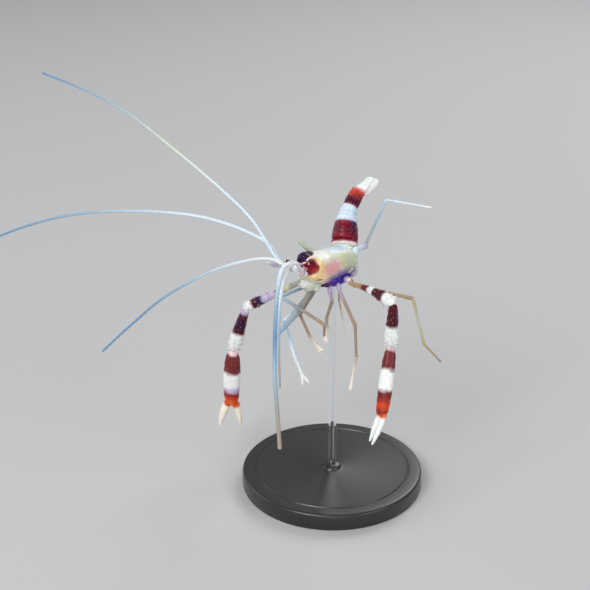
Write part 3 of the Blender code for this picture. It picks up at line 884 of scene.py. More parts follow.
@dataclass
class UnderBody:
    """The thorax floor that carries the legs, and the mouthparts."""

    thorax: tuple[Station, ...] = (
        (-3.4, 1.3, -3.4, -5.2), (-2.0, 1.8, -3.4, -5.8), (1.0, 2.3, -3.3, -6.4),
        (4.0, 2.6, -3.2, -6.6), (6.4, 2.3, -3.2, -5.9), (7.2, 1.8, -3.3, -5.0))
    jaws: tuple[Station, ...] = (
        (-9.9, 0.6, -0.6, -2.6), (-9.0, 1.1, -1.0, -3.9), (-7.6, 1.6, -2.2, -4.7),
        (-4.8, 1.6, -3.2, -5.0), (-3.9, 1.1, -3.4, -4.8))
    plates: int = 5
    # root, tip and radius of the feeding palps
    palps: tuple[tuple[Triple, Triple, float], ...] = (
        ((0.55, -4.6, -4.7), (0.45, -8.4, -4.9), 0.34),
        ((1.15, -5.2, -4.4), (1.25, -9.2, -4.3), 0.32),
        ((1.35, -6.4, -3.9), (1.75, -9.8, -3.2), 0.28))

    def seams(self, place: Array, turn: Array) -> Array:
        """Cross seams below between the pairs of legs, and a groove down the middle."""
        pitch = (self.thorax[-1][0] - self.thorax[0][0]) / self.plates
        groove = bell(turn, BOTTOM + 2 * math.pi, 0.25)
        return ringed(0.10, pitch)(place, turn) * (np.sin(turn) < 0.4) - 0.22 * groove

    def build(self) -> None:
        """Make the floor, and the jaw plates with their bristled palps."""
        floor, mouth = Piece("thorax_floor"), Piece("mouth_plates")
        floor.add(midline(self.thorax, step=0.25, sides=40, blunt=(0.5, 0.5), squareness=2.8,
                          relief=self.seams))
        floor.make(THORAX_FINISH, "thorax")
        mouth.add(midline(self.jaws, step=0.25, sides=40, blunt=(0.5, 0.5), squareness=2.8,
                          relief=ringed(0.09, 2 * math.pi / 5.2)))
        for side in Side:
            for number, (root, tip, size) in enumerate(self.palps):
                palp = mouth.add(taper(at(root, side), at(tip, side),
                                       scaled(size, 0.8, 1.0, 0.95, 0.5), UP, sides=12))
                mouth.add_fringe(palp, spread(0.35, 1.0, 16), BOTTOM, length=0.75, lean=35,
                                 seed=20 + number, mark=0.9)
        mouth.make(MOUTH_FINISH, "mouthparts")


@dataclass
class Abdomen:
    """Six overlapping somites with side lobes and swimmerets."""

    start: Triple = (-1.6, 7.2, 0.5)      # beside the midline: the abdomen swings to the right
    first_heading: Pair = (-172, 8)
    # length, bearing and rise
    somites: tuple[Triple, ...] = ((1.8, -156, 26), (2.4, -138, 50), (5.3, -142, 51),
                                   (2.7, -151, 45), (2.4, -158, 41), (5.6, -168, 36))
    last_heading: Pair = (-172, 20)
    half_widths: tuple[float, ...] = (3.5, 3.60, 3.72, 3.10, 2.45, 2.05, 2.0)
    half_heights: tuple[float, ...] = (3.1, 3.2, 3.3, 2.9, 2.5, 2.1, 1.5)
    parts: int = 6                        # steps in which a somite turns towards the next
    overlap: float = 0.45
    tuck: float = 0.38
    flank_height: float = 0.20            # height of the bulge above the side lobes
    ripple: float = 0.035
    lobe_turn: float = -28
    lobe_heights: tuple[float, ...] = (0.30, 0.26, 0.20, 0.10)
    widest_lobe: float = 1.5
    swimmeret: Triple = (2.1, 0.65, 0.30)

    def build(self) -> Array:
        """Make the somites, turning evenly from one to the next.

        Returns:
            Where the tail fan starts.
        """
        point = at(self.start)
        bends = [(0, *self.first_heading), *self.somites, (0, *self.last_heading)]
        for number, (length, *own) in enumerate(self.somites):
            points, ways = [], []
            for share in spread(-0.5, 0.5, self.parts + 1):
                other = bends[number + 2 if share > 0 else number][1:]
                turn, climb = (a + (b - a) * abs(share) for a, b in zip(own, other))
                points.append(point)
                ways.append(heading(turn, climb))
                point = point + ways[-1] * length / self.parts
            point = points[-1]
            self.build_somite(number, points, ways)
        return point

    def build_somite(self, number: int, points: list[Array], ways: list[Array]) -> None:
        """One plate, flared over the next one, with lobes, spines and swimmerets."""
        length = self.somites[number][0]
        reach = length + self.overlap
        shares = spread(0, 1, len(points))
        swell = 0.95 + 0.07 * np.sin(math.pi * (0.15 + 0.7 * shares))
        wide, tall = (swell * (sizes[number] * (1 - shares) + sizes[number + 1] * shares)
                      for sizes in (self.half_widths, self.half_heights))
        middle = len(points) // 2
        across = unit(np.cross(ways[middle], UP))
        knots = [points[0] - ways[0] * self.overlap * (0.6 if number else 0.2), *points[1:-1],
                 points[-1] + ways[-1] * self.overlap * 0.5]
        margin = ((0.13, reach - 0.1, 0.35), (-0.09, reach - 0.75, 0.3),
                  (-0.07 * (length > 2), reach * 0.42, 0.22))

        def relief(place: Array, turn: Array) -> Array:
            """Tuck the front under, flare and groove the rear margin and ripple the plate."""
            top = np.clip(np.sin(turn) + 0.5, 0, 1)
            tuck = -self.tuck * bell(place, 0, 0.55) * (number > 0)
            lobes = self.flank_height * bell(np.sin(turn), -0.35, 0.3)
            ripple = self.ripple * np.sin(turn * 14 + place * 2.3) * np.sin(place * 4.0)
            return (tuck + ridges(place, margin) * top + ripple
                    + lobes * np.sin(math.pi * np.clip(place / reach, 0, 1)))

        piece = Piece(f"somite_{number + 1}")
        form = piece.add(sweep(knots, wide, tall, across, step=0.22, sides=64, blunt=(0.3, 0.14),
                               squareness=2.2, relief=relief))
        fan = TOP + np.radians(range(-100, 101, 25))
        piece.add_spines(form, spread(0.30, 0.92, max(2, round(length))), fan, length=0.46, lean=62,
                         radius=0.10, jitter=0.7, seed=30 + number)
        if number < len(self.somites) - 1:
            self.add_lobes(piece, form, number)
            self.add_swimmerets(piece, points[middle], ways[middle], across, number)
        piece.make(SOMITE_FINISHES[number], f"abdomen_{number + 1}")

    def add_lobes(self, piece: Piece, form: Form, number: int) -> None:
        """The somite's two side lobes, thin plates that end in a point."""
        size = self.half_widths[number] / self.half_widths[0]
        widths = [min(width, self.widest_lobe)
                  for width in scaled(self.somites[number][0], 0.42, 0.42, 0.30, 0.07)]
        for side in Side:
            turn = EDGES[side is Side.RIGHT] + math.radians(self.lobe_turn) * side.value
            root, out, along = form.spot(0.55, turn)
            down = unit(np.cross(out, along) * -side.value)
            knots = [root - out * 0.45 - down * 0.9, root - out * 0.15, root + down * 0.85 * size,
                     root + down * 1.5 * size + along * 0.55 - out * 0.15]
            lobe = sweep(knots, widths, self.lobe_heights, along, step=0.25, sides=18,
                         blunt=(0.4, 0.8))
            piece.add(lobe, span=(0.5, 0.5))
            piece.add_spines(lobe, (0.7, 0.86), [0.0], length=0.42, lean=40, radius=0.09,
                             span=(0.5, 0.5))

    def add_swimmerets(self, piece: Piece, middle: Array, along: Array, across: Array,
                       number: int) -> None:
        """A pair of fringed paddles under the somite."""
        tall = np.cross(across, along)
        below = sum(self.half_heights[number:number + 2]) / 2
        reach, half_width, half_thickness = self.swimmeret
        reach *= self.half_widths[number] / self.half_widths[0]
        widths = scaled(half_width, 0.55, 0.95, 1.0, 0.45)
        heights = scaled(half_thickness, 1.3, 1.0, 0.9, 0.5)
        for side in Side:
            root = middle + across * side.value - tall * below * 0.75
            tip = root + (along * 0.40 - tall * 0.90) * reach
            paddle = piece.add(taper(root, tip, widths, across, sides=14, heights=heights),
                               span=(0.5, 0.5))
            for turn in EDGES:
                piece.add_fringe(paddle, spread(0.5, 1.0, 12), turn, length=0.45, lean=55,
                                 seed=50 + number, mark=0.5, radius=0.03)


@dataclass(frozen=True)
class Uropod:
    """One side blade of the tail fan: its size and how it stands to the middle blade."""

    name: str
    length: float
    half_width: float
    spread: float
    aside: float
    below: float
    droop: float
    saw_edged: bool


@dataclass
class TailFan:
    """The telson over two pairs of uropods."""

    bearing: float = -172
    rise: float = 17.5
    lift: float = 0.45
    telson_length: float = 6.5
    telson_widths: tuple[float, ...] = (2.0, 1.75, 1.50, 1.15, 0.55)
    telson_heights: tuple[float, ...] = (0.62, 0.50, 0.40, 0.33, 0.24)
    telson_ridges: tuple[Triple, ...] = ((0.12, 0.42, 0.2), (0.12, -0.42, 0.2))
    uropods: tuple[Uropod, ...] = (
        Uropod("inner", 6.6, 0.95, spread=4, aside=0.90, below=0.45, droop=38, saw_edged=False),
        Uropod("outer", 6.8, 1.10, spread=6, aside=1.15, below=0.75, droop=52, saw_edged=True))
    uropod_outline: tuple[float, ...] = (0.85, 1.05, 1.05, 0.95, 0.50)
    thickness: float = 0.32
    fringe: float = 0.45

    def build(self, root: Array) -> None:
        """Make the fan behind the abdomen's end."""
        along = heading(self.bearing, self.rise)
        across = unit(np.cross(along, UP))
        start = root + along * self.lift
        self.build_telson(start, along, across)
        for side in Side:
            for uropod in self.uropods:
                self.build_uropod(uropod, side, start, across, np.cross(across, along))

    def build_telson(self, start: Array, along: Array, across: Array) -> None:
        """The middle blade, with two ridges, side spines and a fringed end."""
        def relief(place: Array, turn: Array) -> Array:
            """Two ridges along the back with a furrow between them."""
            return (ridges(np.cos(turn), self.telson_ridges) * (np.sin(turn) > 0)
                    * bell(place, 0, 6.5, 4))

        piece = Piece("telson_blade")
        points = straight(start - along * 0.5, start + along * self.telson_length, 5)
        form = piece.add(sweep(points, self.telson_widths, self.telson_heights, across, step=0.2,
                               sides=40, blunt=(0.6, 0.9), squareness=2.4, relief=relief))
        piece.add_spines(form, (0.3, 0.5, 0.7, 0.86), EDGES, length=0.45, lean=58, radius=0.09)
        piece.add_spines(form, (0.2, 0.4, 0.6), [1.14, 2.0], length=0.40, lean=60, radius=0.09)
        for turn in EDGES:
            piece.add_fringe(form, spread(0.72, 1.0, 30), turn, length=self.fringe, lean=58, seed=61)
        piece.make(TAIL_FINISH, "telson")

    def build_uropod(self, uropod: Uropod, side: Side, start: Array, across: Array,
                     tall: Array) -> None:
        """One side blade with a middle rib, saw teeth or hairs outside and a fringe.

        Args:
            uropod: the blade's size and stand.
            side: its side of the fan.
            start: where the telson starts.
            across: the fan's way to the left.
            tall: the fan's way up.
        """
        def rib(place: Array, turn: Array) -> Array:
            """A rib down the middle, above and below, with fine side veins."""
            veins = 0.02 * np.sin(place * 6 + 3 * abs(np.cos(turn)))
            return (0.10 * bell(np.cos(turn), 0, 0.16) + veins) * bell(place, 0, 6.2, 4)

        origin = start + across * side.value * uropod.aside - tall * uropod.below
        blade = heading(self.bearing - uropod.spread * side.value, self.rise) * uropod.length
        wide = leaning(across, -tall, uropod.droop * side.value)
        widths = scaled(uropod.half_width, *self.uropod_outline)
        word = f"{side.word}_{uropod.name}"
        piece = Piece(f"uropod_blade_{word}")
        form = piece.add(sweep([origin + blade * share for share in (-0.07, 0.2, 0.5, 0.8, 1)],
                               widths, [self.thickness] * 5, wide, step=0.2, sides=36,
                               blunt=(0.8, 0.9), relief=rib))
        outer, inner = EDGES[::side.value]
        if uropod.saw_edged:
            piece.add_spines(form, spread(0.2, 0.84, 8), [outer], length=0.34, lean=62, radius=0.08)
        else:
            piece.add_fringe(form, spread(0.35, 0.9, 30), outer, length=self.fringe * 0.7, lean=55,
                             seed=3, radius=0.05)
        piece.add_fringe(form, spread(0.45, 1.0, 40), inner, length=self.fringe, lean=55, seed=63)
        piece.add_fringe(form, spread(0.88, 1.0, 14), outer, length=self.fringe, lean=70, seed=64)
        piece.make(TAIL_FINISH, f"uropod_{word}")


# The head

@dataclass(frozen=True)
class Stem:
    """A feeler's stem: its ends, its radius and the shares where its articles meet."""

    name: str
    root: Triple
    tip: Triple
    radius: float
    joints: tuple[float, ...]


@dataclass
class Head:
    """Eyes, feeler stems and scales; places are on the left side."""

    eye: tuple[Triple, Triple] = ((1.5, -10.5, 2.6), (2.5, -13.6, 4.70))
    eye_radii: tuple[float, ...] = (0.40, 0.44, 0.46, 0.48, 0.56, 0.60, 0.50)
    stems: tuple[Stem, ...] = (
        Stem("antennule", (0.75, -10.6, 1.8), (0.9, -15.6, 4.6), 0.58, (0.0, 0.45, 0.74, 1.0)),
        Stem("antenna", (1.9, -10.4, 1.2), (2.6, -14.8, 3.5), 0.70, (0.0, 0.36, 0.66, 1.0)))
    stem_outline: tuple[float, ...] = (0.80, 0.92, 1.0, 1.04)
    # root and tip of the left scale and of the right one, as if it stood on the left
    scales: tuple[tuple[Triple, Triple], ...] = (((2.4, -12.0, 3.4), (4.1, -16.9, 6.0)),
                                                 ((3.4, -11.2, 1.3), (5.5, -17.8, 4.6)))
    scale_widths: tuple[float, ...] = (0.5, 0.8, 1.1, 1.1, 0.9, 0.5)
    scale_ribs: tuple[Triple, ...] = ((0.06, -0.5, 0.12), (0.06, 0.0, 0.12), (0.06, 0.5, 0.12))
    scale_thickness: float = 0.26
    brow: tuple[Station, ...] = ((-9.4, 1.5, 2.4, -0.4), (-11.2, 1.4, 3.7, 1.1),
                                 (-13.2, 1.8, 5.3, 2.7), (-15.0, 1.3, 5.6, 3.6))

    def build(self) -> None:
        """Make the brow between the sides, and the pieces on both sides."""
        def lumps(place: Array, turn: Array) -> Array:
            """Soft lumps all over the brow."""
            return 0.07 * np.sin(place * 4) * np.cos(turn * 6)

        piece = Piece("head_front")
        piece.add(midline(self.brow, step=0.25, sides=32, blunt=(0.3, 0.9), squareness=2.2,
                          relief=lumps))
        piece.make(HEAD_FINISH)
        for side, ends in zip(Side, self.scales):
            self.build_eye(side)
            for stem in self.stems:
                self.build_stem(side, stem)
            self.build_scale(side, *(at(point, side) for point in ends))

    def build_eye(self, side: Side) -> None:
        """A stalk that widens to a cup with a fine rim, and the dark round eye in it."""
        def cup(place: Array, turn: Array) -> Array:
            """The rim where the stalk meets the eye."""
            return 0.05 * bell(place, 2.1, 0.12)

        start, end = (at(point, side) for point in self.eye)
        piece = Piece(f"eye_with_stalk_{side.word}")
        piece.add(taper(start, end, self.eye_radii, UP, step=0.12, sides=32, blunt=(0.3, 0.95),
                        relief=cup))
        piece.make(EYE_FINISH, f"eye_{side.word}")

    def build_stem(self, side: Side, stem: Stem) -> None:
        """A stem of three articles, each with a rim and rim spines."""
        start, end = at(stem.root, side), at(stem.tip, side)
        piece = Piece(f"{stem.name}_stem_{side.word}")
        for number, (low, high) in enumerate(zip(stem.joints, stem.joints[1:])):
            first, last = (start + (end - start) * share for share in (low - 0.02, high + 0.02))
            radii = scaled(stem.radius * (1.06 - 0.09 * number), *self.stem_outline)
            form = piece.add(taper(first, last, radii, LEFTWARD, step=0.16, sides=24,
                                   blunt=(0.35, 0.35)), span=(low, high))
            piece.add_spines(form, [0.86], np.radians((20, 90, 160, 270)), length=0.42, lean=60,
                             radius=0.09, span=(low, high))
        piece.make(STEM_FINISH, f"{stem.name}_{side.word}")

    def build_scale(self, side: Side, start: Array, end: Array) -> None:
        """A leaf-shaped plate with ribs, a spine outside its tip and a fringe inside."""
        def ribs(place: Array, turn: Array) -> Array:
            """Three ribs along the leaf."""
            return ridges(np.cos(turn), self.scale_ribs) * bell(place, 0, 8.0, 6)

        slope = unit(np.array((-side.value, 0.0, 1.0)))
        piece = Piece(f"scale_leaf_{side.word}")
        form = piece.add(taper(start, end, self.scale_widths, slope, step=0.2, sides=36,
                               blunt=(0.5, 0.8), relief=ribs,
                               heights=[self.scale_thickness] * len(self.scale_widths)))
        piece.add_spines(form, [0.93], EDGES[1:], length=0.5, lean=70, radius=0.1)
        piece.add_fringe(form, spread(0.30, 0.97, 46), EDGES[0], length=0.8, lean=50, seed=71)
        piece.make(SCALE_FINISH, f"antenna_{side.word}_scale")


@dataclass(frozen=True)
class Feeler:
    """A ringed lash: its route, its radii at root and tip, and its colours."""

    knots: tuple[Triple, ...]
    radii: Pair
    bands: Bands

    def build(self, name: str) -> None:
        """Make the lash of that name; a long one stands for a near and a far node."""
        knots = np.array([at(knot) for knot in self.knots])
        radii = spread(*self.radii, len(knots))
        rings = ringed(0.045 * (0.4 + 0.6 * self.radii[0]), 1.36)
        piece = Piece(f"{name}_lash")
        piece.add(sweep(knots, radii, radii, None, step=0.34, sides=10, blunt=(0.6, 1),
                        relief=rings))
        ends = ("_near", "_far") if name.startswith("antenna_") else ("",)
        piece.make(Finish(f"lash_{name}", self.bands, wobble=0.01, mottle=0.3, grain=0.4,
                          bumps=0.02, roughness=0.42, clarity=0.2),
                   *(f"{name}_whip{end}" for end in ends))


# The limbs

FIRST_LEG_SEED = 100


@dataclass(frozen=True)
class Leg:
    """A thin leg: its root, its articles, how many are above the knee, and its colours."""

    start: Triple
    segments: tuple[Triple, ...]
    above_knee: int
    radii: tuple[float, float, float, float]
    upper: Bands
    lower: Bands = ()
    pincer: Pair | None = None        # length and degrees that each finger opens
    ringed: bool = False
    bristles: float = 0.0
    coxa: float = 1.12

    def build(self, name: str, seed: int) -> None:
        """Make a leg in two pieces that meet at the knee, or one piece without a knee."""
        points = chain(at(self.start), self.segments)
        knee = self.above_knee
        whole = knee == len(self.segments)
        root, above, below, tip = self.radii
        upper_name = name if whole else f"{name}_upper"
        upper = Piece(f"limb_{upper_name}")
        way = unit(points[1] - points[0])
        radii = scaled(root * self.coxa, 0.85, 1.0, 0.95, 0.7)
        upper.add(taper(points[0] - way * 0.7, points[0] + way * 1.5, radii, off_axis(way)),
                  span=(0, 0.04))
        radii = spread(root, tip if whole else above, knee + 1)
        self.add_articles(upper, points[:knee + 1], radii, seed)
        upper.make(self.finish(upper_name, self.upper), upper_name)
        if not whole:
            lower = Piece(f"limb_{name}_lower")
            radii = spread(below, tip, len(points) - knee)
            self.add_articles(lower, points[knee:], radii, seed + 40)
            self.add_end(lower, points[-1], unit(points[-1] - points[-2]), tip)
            lower.make(self.finish(f"{name}_lower", self.lower), f"{name}_lower")

    def finish(self, name: str, bands: Bands) -> Finish:
        """A leg piece's surface."""
        return Finish(f"skin_{name}", bands, wobble=0.06, mottle=0.4, grain=0.6, bumps=0.03,
                      roughness=0.36, clarity=0.08, spine=Hue.CREAM)

    def add_articles(self, piece: Piece, points: list[Array], radii: Array, seed: int) -> None:
        """Each article with a slim root and a rounded, wider far end."""
        steps = np.linalg.norm(np.diff(points, axis=0), axis=1)
        runs = np.concatenate(([0.0], np.cumsum(steps)))
        for number, length in enumerate(np.diff(runs)):
            start, end = points[number:number + 2]
            first, last = radii[number:number + 2]
            span = tuple(runs[number:number + 2] / runs[-1])
            way = unit(end - start)
            sizes = [first * 0.98, first * 0.84, (first + last) * 0.42, last * 0.88, last * 1.08]
            rings = ringed(0.04, 0.95) if self.ringed and length > 8 else None
            form = piece.add(taper(start - way * first * 0.5, end + way * last * 0.5, sizes,
                                   off_axis(way), step=0.3, sides=16, blunt=(0.9, 0.9),
                                   relief=rings), span=span)
            rows = spread(0.25, 0.93, max(1, round(length / 2.4)))
            piece.add_spines(form, rows, [TOP, BOTTOM], length=0.34, lean=55, radius=0.07,
                             span=span, jitter=0.6, seed=seed)
            if self.bristles:
                for turn in (BOTTOM, -0.9, -2.2):
                    piece.add_fringe(form, spread(0.1, 0.95, round(length * 4)), turn,
                                     length=self.bristles, lean=40, seed=seed + number, mark=span[1])

    def add_end(self, piece: Piece, root: Array, along: Array, radius: float) -> None:
        """A small pincer, or a two-pointed toe."""
        aside = unit(np.cross(along, heading(VIEWER, 0)))
        if self.pincer is None:
            for sign, reach in ((0.35, 0.9), (-0.55, 0.6)):
                piece.add_cone(root - along * 0.1, root + (along + aside * sign) * reach,
                               radius=radius * 0.75, share=1.0)
            return
        length, opening = self.pincer
        sizes = [*scaled(radius, 0.85, 0.88, 0.72), 0.2]
        for sign in (1, -1):
            way = leaning(along, aside, opening * sign)
            reach = way * length
            hook = aside * math.sin(math.radians(opening)) * sign * 0.2
            knots = [root - along * 0.3, root + reach * 0.3, root + reach * 0.7, root + reach - hook]
            piece.add(sweep(knots, sizes, sizes, off_axis(way), step=0.2, sides=14),
                      span=(0.97, 1.0))


@dataclass
class GreatClaw:
    """The long arm, wrist and hand of one side."""

    side: Side
    start: Triple
    segments: tuple[Triple, ...]      # root, blade, wrist and palm
    fingers: Triple
    opening: float
    stoutness: float
    spacing: float                    # from the palm's middle to each finger's
    thickness: float
    arm_radii: tuple[float, ...]
    bands: dict[str, Bands]
    elbow_reach: float = 0.15
    arm_bow: float = 0.0
    wrist_radii: tuple[float, ...] = (1.00, 1.26, 1.45, 1.65, 1.90, 1.90, 1.45)
    palm_widths: tuple[float, ...] = (1.10, 1.70, 1.90, 2.05, 2.00, 1.85, 1.60)
    flatness: float = 0.78

    def build(self) -> None:
        """Make the claw's four pieces."""
        root, neck, elbow, hinge, knuckle = chain(at(self.start), self.segments)
        wide = unit(np.cross(UP, heading(VIEWER, 0)))
        self.build_arm(root, neck, elbow)
        self.build_wrist(elbow, hinge, wide)
        self.build_hand(hinge, knuckle, wide)

    def piece(self, part: str) -> Piece:
        """Start the piece for a part of the claw."""
        return Piece(f"claw_{part}_{self.side.word}")

    def dress(self, piece: Piece, part: str) -> None:
        """Make a piece in its part's colours."""
        name = f"claw_{self.side.word}_{part}"
        piece.make(Finish(f"shell_{name}", self.bands[part], wobble=0.04, mottle=0.28, grain=0.8,
                          bumps=0.06), name)

    def add_thorns(self, piece: Piece, form: Form, length: float, seed: int,
                   first: float = 0.12) -> None:
        """Rows of forward-leaning spines, and larger ones at the far end."""
        piece.add_spines(form, spread(first, 0.60, 7), np.radians(range(15, 375, 60)),
                         length=length, lean=54, radius=0.12, jitter=0.6, seed=seed)
        piece.add_spines(form, spread(0.70, 0.95, 3), np.radians(range(0, 360, 51)),
                         length=length * 1.35, lean=44, radius=0.34, jitter=0.4, seed=seed + 1)

    def build_arm(self, root: Array, neck: Array, elbow: Array) -> None:
        """A slim root that widens to the elbow, and the round article at the thorax."""
        way = unit(elbow - neck)
        blade = straight(neck, elbow + way * self.elbow_reach, len(self.arm_radii) - 1)
        blade += np.outer(np.sin(spread(0, math.pi, len(blade))), UP) * self.arm_bow
        knots = np.vstack((root - unit(neck - root) * 0.5, blade))
        piece = self.piece("arm")
        form = piece.add(sweep(knots, self.arm_radii, self.arm_radii, UP, step=0.25, sides=36,
                               blunt=(1.0, 0.95), relief=furrowed(0.05)))
        piece.add(taper(root - way * 0.9, root + way * 1.9, (0.72, 0.86, 0.78, 0.58), UP, step=0.25,
                        sides=24, blunt=(1, 1), relief=furrowed(0.07),
                        heights=(0.72, 0.82, 0.74, 0.56)), span=(0.0, 0.05))
        self.add_thorns(piece, form, length=0.62, seed=140 + self.side.value, first=0.30)
        self.dress(piece, "arm")

    def build_wrist(self, elbow: Array, hinge: Array, wide: Array) -> None:
        """The article between arm and hand, widest before its far end."""
        way = unit(hinge - elbow)
        piece = self.piece("wrist")
        form = piece.add(taper(elbow + way * 0.35, hinge - way * 0.1, self.wrist_radii, wide,
                               step=0.25, sides=40, blunt=(0.9, 0.7), relief=furrowed(0.07)))
        self.add_thorns(piece, form, length=0.66, seed=150 + self.side.value)
        self.dress(piece, "wrist")

    def build_hand(self, hinge: Array, knuckle: Array, wide: Array) -> None:
        """Palm with its fixed finger, and the moving finger beside it."""
        length, bearing, rise = self.fingers
        along = heading(bearing, rise)
        across = unit(wide - along * wide.dot(along)) * self.side.value
        fixed, moving = (leaning(along, across, turn) for turn in (self.opening, -self.opening))
        aside = across * self.spacing
        back = unit(hinge - knuckle)
        tip = fixed * length
        points = [*straight(hinge - back * 0.2, knuckle + back * 1.2, len(self.palm_widths)),
                  knuckle + aside * 0.80, knuckle + aside + tip * 0.15,
                  knuckle + aside + tip * 0.6, knuckle + aside * 0.75 + tip]
        palm = scaled(self.stoutness, *self.palm_widths)
        widths = [*palm, 0.95 * self.stoutness, *scaled(self.thickness, 0.88, 0.66, 0.22)]
        heights = [*scaled(self.flatness, *palm), 1.20, *scaled(self.thickness, 1.00, 0.80, 0.24)]
        piece = self.piece("hand")
        form = piece.add(sweep(points, widths, heights, wide, step=0.25, sides=44, blunt=(0.9, 0.9),
                               relief=furrowed(0.05)))
        piece.add_spines(form, spread(0.06, 0.60, 8), np.radians(range(20, 380, 72)), length=0.50,
                         lean=56, radius=0.11, jitter=0.6, seed=161)
        self.add_teeth(piece, form, fixed, -across, spread(0.78, 0.95, 6))
        self.dress(piece, "hand")
        self.build_finger(knuckle - aside * 0.98 - along * 0.5, moving, aside, across, wide)

    def build_finger(self, root: Array, moving: Array, aside: Array, across: Array,
                     wide: Array) -> None:
        """The moving finger, hooked a little at its tip."""
        tip = moving * self.fingers[0]
        points = [root, root + tip * 0.18, root + tip * 0.58, root + aside * 0.25 + tip * 0.98]
        piece = self.piece("finger")
        form = piece.add(sweep(points, scaled(self.thickness, 0.74, 0.84, 0.64, 0.22),
                               scaled(self.thickness, 0.95, 1.00, 0.78, 0.24), wide, step=0.22,
                               sides=30, blunt=(0.8, 0.9)))
        self.add_teeth(piece, form, moving, across, spread(0.3, 0.86, 6))
        self.dress(piece, "finger")

    def add_teeth(self, piece: Piece, form: Form, way: Array, inward: Array,
                  shares: Iterable[float]) -> None:
        """Low teeth along a finger's cutting edge."""
        for share in shares:
            row = int(np.argmin(abs(form.shares - share)))
            root = form.rings[row, int(np.argmax(form.outward[row] @ inward))]
            piece.add_cone(root - inward * 0.12, root + inward * 0.24 + way * 0.05, radius=0.17,
                           share=share)


# Colours of the pieces

BASE_FINISH = Plain("base_satin_black", tones=((0.011, 0.011, 0.012), (0.021, 0.021, 0.023)),
                    drift=14.0, roughness=0.34, grain=0.35, variation=0.16, bumps=0.012,
                    sockets=(("Coat_Weight", 0.2), ("Coat_Roughness", 0.3)))
ROD_FINISH = Plain("rod_clear_resin", tones=((0.90, 0.94, 0.95), (0.97, 0.99, 1.0)), drift=5.0,
                   roughness=0.045, variation=0.03,
                   sockets=(("IOR", 1.38), ("Transmission_Weight", 1.0)))
FLOOR_FINISH = Plain("studio_floor", tones=((0.5, 0.5, 0.505), (0.515, 0.515, 0.52)), drift=1.5,
                     roughness=0.85)

CARAPACE_FINISH = Finish(
    "shell_carapace", even(Hue.MILK_GREEN, Hue.CREAM, Hue.MILK_GREEN, Hue.STRAW, Hue.MILK_GREEN),
    patches=(
        # Blue-white band over the top of the rear carapace: partly the shell's own pale rim, partly a
        # painted highlight along its top edge.
        Patch((0, 5.4, 4.9), (4.6, 6.0, 1.9), Hue.BLUE_WHITE, 0.95, 0.3),
        Patch((3.9, 4.6, 1.6), (2.2, 3.4, 1.7), Hue.CLEAR_GREEN, 0.7, 0.5, True),
        Patch((3.6, -7.6, 0.4), (2.8, 4.2, 1.6), Hue.CREAM, 0.95, 0.4, True),
        Patch((0, -8.8, -3.2), (5, 4.6, 2.0), Hue.MILK_GREEN, 1.0, 0.35),
        Patch((0, -9.2, -3.4), (5, 4.0, 1.7), Hue.WHITE, 0.65, 0.5),
        Patch((0, -4.2, 4.4), (4.2, 2.5, 3.4), Hue.WHITE, 1.0, 0.3),
        Patch((4.2, -2.5, 1.2), (1.9, 3.0, 2.1), Hue.PINK, 0.9, 0.75, True),
        Patch((2.0, -9.9, 3.0), (2.6, 3.7, 2.3), Hue.CRIMSON, 1.0, 0.16),
        Patch((2.0, -8.6, 4.2), (1.5, 1.9, 0.8), Hue.PLUM, 0.75, 0.5),
        Patch((3.0, -9.4, 2.2), (1.4, 1.8, 0.8), Hue.BRICK, 0.7, 0.5),
        Patch((3.3, -8.4, 2.2), (0.8, 1.1, 0.5), Hue.RED_ORANGE, 0.5, 0.7),
        Patch((-2.7, -7.6, 3.8), (2.7, 3.9, 3.4), Hue.DARK_PURPLE, 1.0, 0.12),
        Patch((-3.2, -7.4, 4.2), (1.9, 2.4, 2.2), Hue.NAVY, 0.8, 0.5),
        Patch((0.1, -7.4, 4.2), (0.36, 3.6, 1.7), Hue.BLUSH, 0.95, 0.35),
        Patch((3.6, -6.9, -1.2), (1.4, 1.0, 0.26), Hue.PLUM, 0.8, 0.4, True),
        Patch((3.3, -7.2, -2.5), (1.4, 1.2, 0.26), Hue.PLUM, 0.8, 0.4, True),
        Patch((3.6, 0.8, -2.7), (2.6, 5.0, 2.3), Hue.VIOLET, 0.95, 0.6, True),
        Patch((3.4, 2.4, -3.4), (2.4, 3.6, 1.4), Hue.BLUE, 0.75, 0.6, True)),
    wobble=0.02, mottle=0.3, grain=0.6, bumps=0.06, clarity=0.3)

THORAX_FINISH = Finish(
    "skin_thorax", even(Hue.DARK_PURPLE, Hue.VIOLET, Hue.BLUE, Hue.BLUE, Hue.VIOLET),
    wobble=0.06, mottle=0.35, grain=0.5, bumps=0.05, roughness=0.3, coat=0.3)

MOUTH_FINISH = Finish("shell_mouth", even(Hue.WHITE, Hue.MILK_GREEN, Hue.WHITE),
                      wobble=0.06, mottle=0.3)
HEAD_FINISH = Finish("skin_head_front", even(Hue.BLUSH, Hue.BLUSH, Hue.WHITE, Hue.LAVENDER),
                     wobble=0.08, mottle=0.4)
EYE_FINISH = Finish("eye_and_stalk", blocks((0.30, Hue.PINK), (0.70, Hue.BLUSH), (1.0, Hue.EYE),
                                            soft=0.02),
                    wobble=0.004, mottle=0.15, grain=0.3, bumps=0.006, roughness=0.16, coat=0.9,
                    clarity=0.05)
STEM_FINISH = Finish("shell_stems", blocks((0.30, Hue.WHITE), (0.42, Hue.LAVENDER),
                                           (0.86, Hue.BLUSH), (1.0, Hue.WHITE), soft=0.035),
                     wobble=0.05, mottle=0.4)
SCALE_FINISH = Finish("shell_scales", even(Hue.BLUSH, Hue.WHITE, Hue.LAVENDER, Hue.WHITE),
                      wobble=0.05, clarity=0.4)
TAIL_FINISH = Finish("shell_tail", blocks((0.05, Hue.PINK), (0.12, Hue.BLUSH), (1.0, Hue.WHITE),
                                          soft=0.035), wobble=0.04, clarity=0.4)
